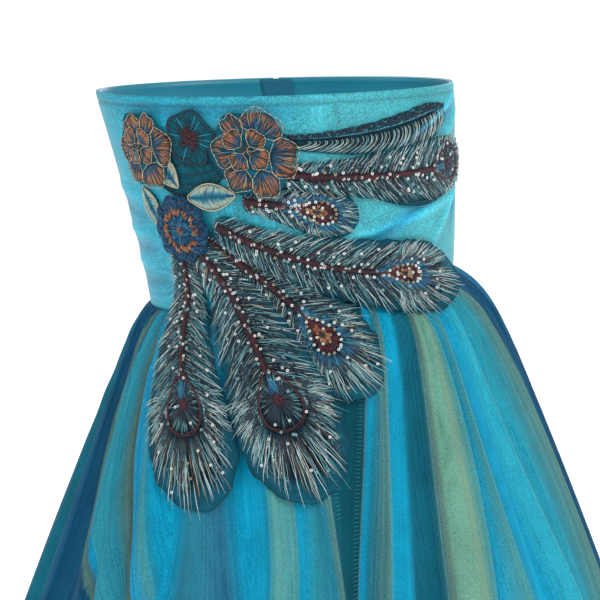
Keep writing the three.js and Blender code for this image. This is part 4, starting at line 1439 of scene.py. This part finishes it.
# Blossoms, rosette and leaves
Blossom = namedtuple("Blossom", "name centre radius petals level tone cover")
blossoms = [
    Blossom("blossom_left", (-0.117, 0.128), 0.029, 6, 2, linear(14, 92, 112), 0.90),
    Blossom("blossom_right", (-0.022, 0.124), 0.033, 6, 2, linear(14, 92, 112), 0.90),
    Blossom("blossom_dark", (-0.070, 0.136), 0.022, 5, 1, linear(20, 96, 112), 0.70),
    Blossom("rosette", (-0.092, 0.068), 0.027, 10, 2, linear(14, 78, 112), 0.92),
]
Leaf = namedtuple("Leaf", "name base length halfWidth turn level")  # turn of the tip in degrees
leaves = [
    Leaf("leaf_1", (-0.088, 0.100), 0.030, 0.009, 128, 1),
    Leaf("leaf_2", (-0.080, 0.092), 0.040, 0.010, 2, 1),
    Leaf("leaf_3", (-0.132, 0.098), 0.032, 0.009, -62, 0),
    Leaf("leaf_net", (0.066, 0.084), 0.092, 0.013, -3, 0),
    Leaf("leaf_net_left", (-0.126, 0.114), 0.088, 0.024, 2, 0),
]
petal = {
    "thread": 0.0007,
    "cordThread": 0.0006,
    "steps": 6,
    "lumps": 0.04,
    "curl": 0.24,  # how much shorter a petal is at its sides
    "footCurl": 0.30,
    "inside": {"petalBlue": 4, "deepTeal": 3, "ink": 2, "aqua": 0.6},
    "outside": {"amber": 5, "rust": 2, "umber": 1.4, "sand": 1.0},
    "cord": ("cream", "cream", "rust"),
    "heart": {"ink": 2, "burgundy": 1, "sand": 1},
}
# near and far shares of the radius, count, rise and threads
rosetteBands = [
    (0.60, 1.00, 420, 0.0, {"cobalt": 4, "navy": 3, "azure": 1}),
    (0.44, 0.66, 200, 0.0005, {"copper": 4, "rust": 3, "sand": 1}),
    (0.00, 0.46, 170, 0.0002, {"azure": 3, "cobalt": 3, "turquoise": 1, "navy": 1}),
    (0.00, 0.14, 30, 0.0006, {"copper": 1, "ink": 1}),
]
leafStitches = {
    "thread": 0.0008,
    "outlineThread": 0.0010,
    "veinThread": 0.0009,
    "reach": 0.14,  # share of the leaf that a stitch slants along
    "inside": {"turquoise": 4, "azure": 2, "cobalt": 1},
    "outside": {"mint": 4, "cream": 2, "frost": 1.5},
    "veins": {"ink": 3, "navy": 3, "turquoise": 1},
    "spacing": 0.00055,
}


def discGround(blossom, material):
    # A square grid rounded into the blossom's lobed disc.
    y, x = np.meshgrid(np.linspace(-1, 1, 25), np.linspace(-1, 1, 25), indexing="ij")
    roundX = x * np.sqrt(1 - y ** 2 / 2)
    roundY = y * np.sqrt(1 - x ** 2 / 2)
    radius, centre = blossom.radius, blossom.centre
    reach = radius * (0.94 + 0.06 * np.cos(blossom.petals * np.arctan2(roundY, roundX)))
    patchGround(
        blossom, centre[0] + reach * roundX, centre[1] + reach * roundY, blossom.tone, blossom.cover,
        material, 0.74 * 4 * radius ** 2,
    )
    return Stitching(blossom.level)


def polar(centre, turn, reach):
    # Places at a turn and a distance from a centre.
    return np.stack([centre[0] + reach * np.cos(turn), centre[1] + reach * np.sin(turn)], -1)


def twoTone(threads, steps, first, last, sharpness, count):
    # The tints along each stroke, which change from the inside to the outside threads at an uneven place.
    change = (steps[None] - draw.uniform(first, last, (count, 1))) * sharpness + 0.5
    inside = pickTints(threads["inside"], count)[:, None]
    outside = pickTints(threads["outside"], count)[:, None]
    return inside + (outside - inside) * np.clip(change, 0, 1)[..., None]


def satinPetal(stitching, centre, turn, spread, near, far, rise, count):
    # Close stitches from a petal's foot to its rounded edge, blue at the foot and copper outside, in a cream
    # cord of short stitches.
    across = np.linspace(-1, 1, count)
    steps = np.linspace(0, 1, petal["steps"])
    lumps = 1 + petal["lumps"] * np.sin(across * 6 + turn * 5)
    edge = far * (1 - petal["curl"] * np.abs(across) ** 2.4) * draw.uniform(0.94, 1.0, count) * lumps
    foot = near + (far - near) * petal["footCurl"] * np.abs(across) ** 2
    reach = foot[:, None] + (edge - foot)[:, None] * steps
    turns = turn + across[:, None] * spread * (0.70 + 0.30 * np.sin(math.pi * steps * 0.7))
    turns = turns + draw.normal(0, 0.012, (count, petal["steps"]))
    tints = twoTone(petal, steps, 0.30, 0.85, 16, count)
    stitching.strokes(polar(centre, turns, reach), petal["thread"], tints, 0.25, rise)
    around = np.linspace(-1, 1, 31)
    lumps = 1 + petal["lumps"] * np.sin(around * 6 + turn * 5)
    rim = far * (1.02 - petal["curl"] * np.abs(around) ** 2.4) * lumps
    turns = turn + around * spread * 1.02
    inward = near + (far - near) * petal["footCurl"] * np.abs(around[::-1]) ** 2
    path = np.concatenate([polar(centre, turns, rim), polar(centre, turns[::-1], inward)])
    path = np.concatenate([path, path[:1]])[None]
    dashes = np.array([threadTints[name] for name in petal["cord"]])[np.arange(path.shape[1]) % 3]
    stitching.strokes(path, petal["cordThread"], dashes[None], 0.2, rise + 0.0004, 1.0)


def satinBlossom(blossom, stitching):
    # The outer petals differ in width and reach, and the inner ones overlap them to one side.
    centre, radius, petals = blossom.centre, blossom.radius, blossom.petals
    widths = 1 + 0.34 * np.sin(2.6 * np.arange(petals) + petals + blossom.level)
    ends = np.cumsum(widths) * 2 * math.pi / widths.sum() + len(blossom.name)
    for i in range(petals):
        spread = widths[i] * math.pi / widths.sum()
        far = radius * (0.97 + 0.08 * math.sin(5 * i + 1))
        count = int(230 * spread / math.pi)
        satinPetal(stitching, centre, ends[i] - spread, spread * 0.97, radius * 0.40, far, 0.0, count)
    inner = petals - 2
    aside = (centre[0] - 0.12 * radius, centre[1] + 0.08 * radius)
    for i in range(inner):
        turn = 2 * math.pi * (i + 0.45 + 0.14 * math.sin(7 * i)) / inner
        far = radius * (0.52 + 0.08 * math.sin(3 * i))
        satinPetal(stitching, aside, turn, math.pi / inner * 0.82, radius * 0.12, far, 0.0011, 34)
    turn = draw.uniform(0, 2 * math.pi, 30)
    reach = radius * np.linspace(0.02, 0.13, 3) * draw.uniform(0.6, 1.2, (30, 1))
    stitching.strokes(polar(aside, turn[:, None], reach), 0.0009, petal["heart"], 0.2, 0.0018)


def darkBlossom(blossom, stitching):
    # Petals outlined three times in dark thread, with a few veins each, round a burgundy heart.
    centre, radius, petals = blossom.centre, blossom.radius, blossom.petals
    around = np.linspace(-1, 1, 25)
    veins = np.linspace(-0.45, 0.45, 4)[:, None]
    for i in range(petals):
        turn = 2 * math.pi * i / petals
        for scale, opening in ((0.95, 0.95), (0.90, 0.95), (0.52, 0.6)):
            rim = radius * scale * (1 - 0.25 * np.abs(around) ** 2.4)
            path = polar(centre, turn + around * math.pi / petals * opening, rim)
            stitching.strokes(path[None], 0.0009, {"ink": 2, "navy": 1}, 0.1, 0.0002, 1.0)
        reach = radius * np.linspace(0.3, 0.88, 5)
        paths = polar(centre, turn + veins, reach[None] + 0 * veins)
        stitching.strokes(paths, 0.0007, {"navy": 2, "turquoise": 1}, 0.1, 0.0001)
    turn = draw.uniform(0, 2 * math.pi, 150)
    reach = radius * (draw.uniform(0.0, 0.30, (150, 1)) + np.linspace(0, 0.14, 3))
    stitching.strokes(polar(centre, turn[:, None], reach), 0.0009, {"burgundy": 3, "plum": 2}, 0.1, 0.0006)


def rosette(blossom, stitching):
    # Bands of short stitches that run outwards to a lobed edge.
    steps = np.linspace(0, 1, 3)
    for near, far, count, rise, threads in rosetteBands:
        turn = draw.uniform(0, 2 * math.pi, count)
        lobes = 0.93 + 0.07 * np.cos(blossom.petals * turn)
        start = draw.uniform(near, far - 0.12, count)
        way = np.minimum(0.16, far - start)[:, None] * steps
        reach = blossom.radius * lobes[:, None] * (start[:, None] + way)
        turns = turn[:, None] + draw.normal(0, 0.12, (count, 1)) * steps
        stitching.strokes(polar(blossom.centre, turns, reach), 0.0009, threads, 0.15, rise)


def leafPlaces(leaf, along, side):
    # side is -1 to 1 across the leaf, which narrows to both ends.
    off = side * leaf.halfWidth * (0.12 + 0.88 * np.sin(math.pi * along))
    cos, sin = math.cos(math.radians(leaf.turn)), math.sin(math.radians(leaf.turn))
    across = leaf.base[0] + along * leaf.length * cos - off * sin
    return np.stack([across, leaf.base[1] + along * leaf.length * sin + off * cos], -1)


def netLeafStitches(leaf, stitching):
    # Long dark veins from end to end.
    along = np.linspace(0.03, 0.97, 26)
    for off in np.linspace(-0.92, 0.92, 7):
        path = leafPlaces(leaf, along, off + 0 * along)
        stitching.strokes(path[None], leafStitches["veinThread"], leafStitches["veins"], 0.1, 0.0001, 1.0)


def satinLeafStitches(leaf, stitching):
    # Slanting stitches on both sides of the midrib, blue inside and pale outside, in a cream outline.
    count = int(leaf.length / leafStitches["spacing"])
    start = np.linspace(0.0, 0.93, count)[:, None]
    steps = np.linspace(0, 1, 5)
    for hand in (-1, 1):
        along = start + leafStitches["reach"] * steps * (1 - start * 0.4) + draw.normal(0, 0.006, (count, 5))
        side = hand * (0.04 + 0.92 * steps) * draw.uniform(0.94, 1.06, (count, 1))
        tints = twoTone(leafStitches, steps, 0.25, 0.60, 5, count)
        stitching.strokes(leafPlaces(leaf, np.clip(along, 0, 1), side), leafStitches["thread"], tints, 0.25)
    around = np.linspace(0, 1, 24)
    right = leafPlaces(leaf, around, 1.0 + 0 * around)
    left = leafPlaces(leaf, around[::-1], -1.0 + 0 * around)
    edge = np.concatenate([right, left, right[:1]])
    cream = np.array([threadTints["cream"]])
    stitching.strokes(edge[None], leafStitches["outlineThread"], cream, 0.2, 0.0003, 1.0)


def addLeaf(leaf, threadMaterial, groundMaterial):
    isNet = leaf.name.startswith("leaf_net")
    slotName, tone, cover = "leaf_thread", linear(30, 120, 140), 0.90
    if isNet:
        slotName, tone, cover = "motif_net", linear(18, 92, 108), 0.66
    side, along = np.meshgrid(np.linspace(-1, 1, 13), np.linspace(0, 1, 40), indexing="ij")
    places = leafPlaces(leaf, along, side)
    flat = (2 * leaf.halfWidth, leaf.length)
    patchGround(
        leaf, places[..., 0], places[..., 1], tone, cover, groundMaterial,
        0.66 * flat[0] * flat[1],
    )
    stitching = Stitching(leaf.level)
    (netLeafStitches if isNet else satinLeafStitches)(leaf, stitching)
    stitching.made(leaf.name, threadMaterial, slotName)


def addSpray():
    threadMaterial = threadFinish()
    groundMaterial = groundFinish("spray net")
    addFeathers(threadMaterial, groundFinish("stitched net", True))
    for blossom, stitch in zip(blossoms, (satinBlossom, satinBlossom, darkBlossom, rosette)):
        slotName = "blossom_thread" if stitch is satinBlossom else "motif_net"
        stitching = discGround(blossom, groundMaterial)
        stitch(blossom, stitching)
        stitching.made(blossom.name, threadMaterial, slotName)
    for leaf in leaves:
        addLeaf(leaf, threadMaterial, groundMaterial)
    print("spray made")


# Floor, and finishing
def addFloor():
    half, height = studio["floorHalf"], studio["floorHeight"]
    corners = [(-half, -half, height), (half, -half, height), (half, half, height), (-half, half, height)]
    mesh = bpy.data.meshes.new("floor")
    mesh.from_pydata(corners, [], [(0, 1, 2, 3)])
    pale = Finish("pale floor", Base_Color=(0.92, 0.92, 0.92, 1), Roughness=0.9)
    glow = {"Emission_Color": (1, 1, 1, 1), "Emission_Strength": studio["floorGlow"]}
    mesh.materials.append(pale.done(**glow))
    floor = bpy.data.objects.new("floor", mesh)
    bpy.context.collection.objects.link(floor)


addCamera()
addLight()
addFloor()
addBodice()
addNets()
addLining()
addSeamTicks()
addZip()
addSpray()
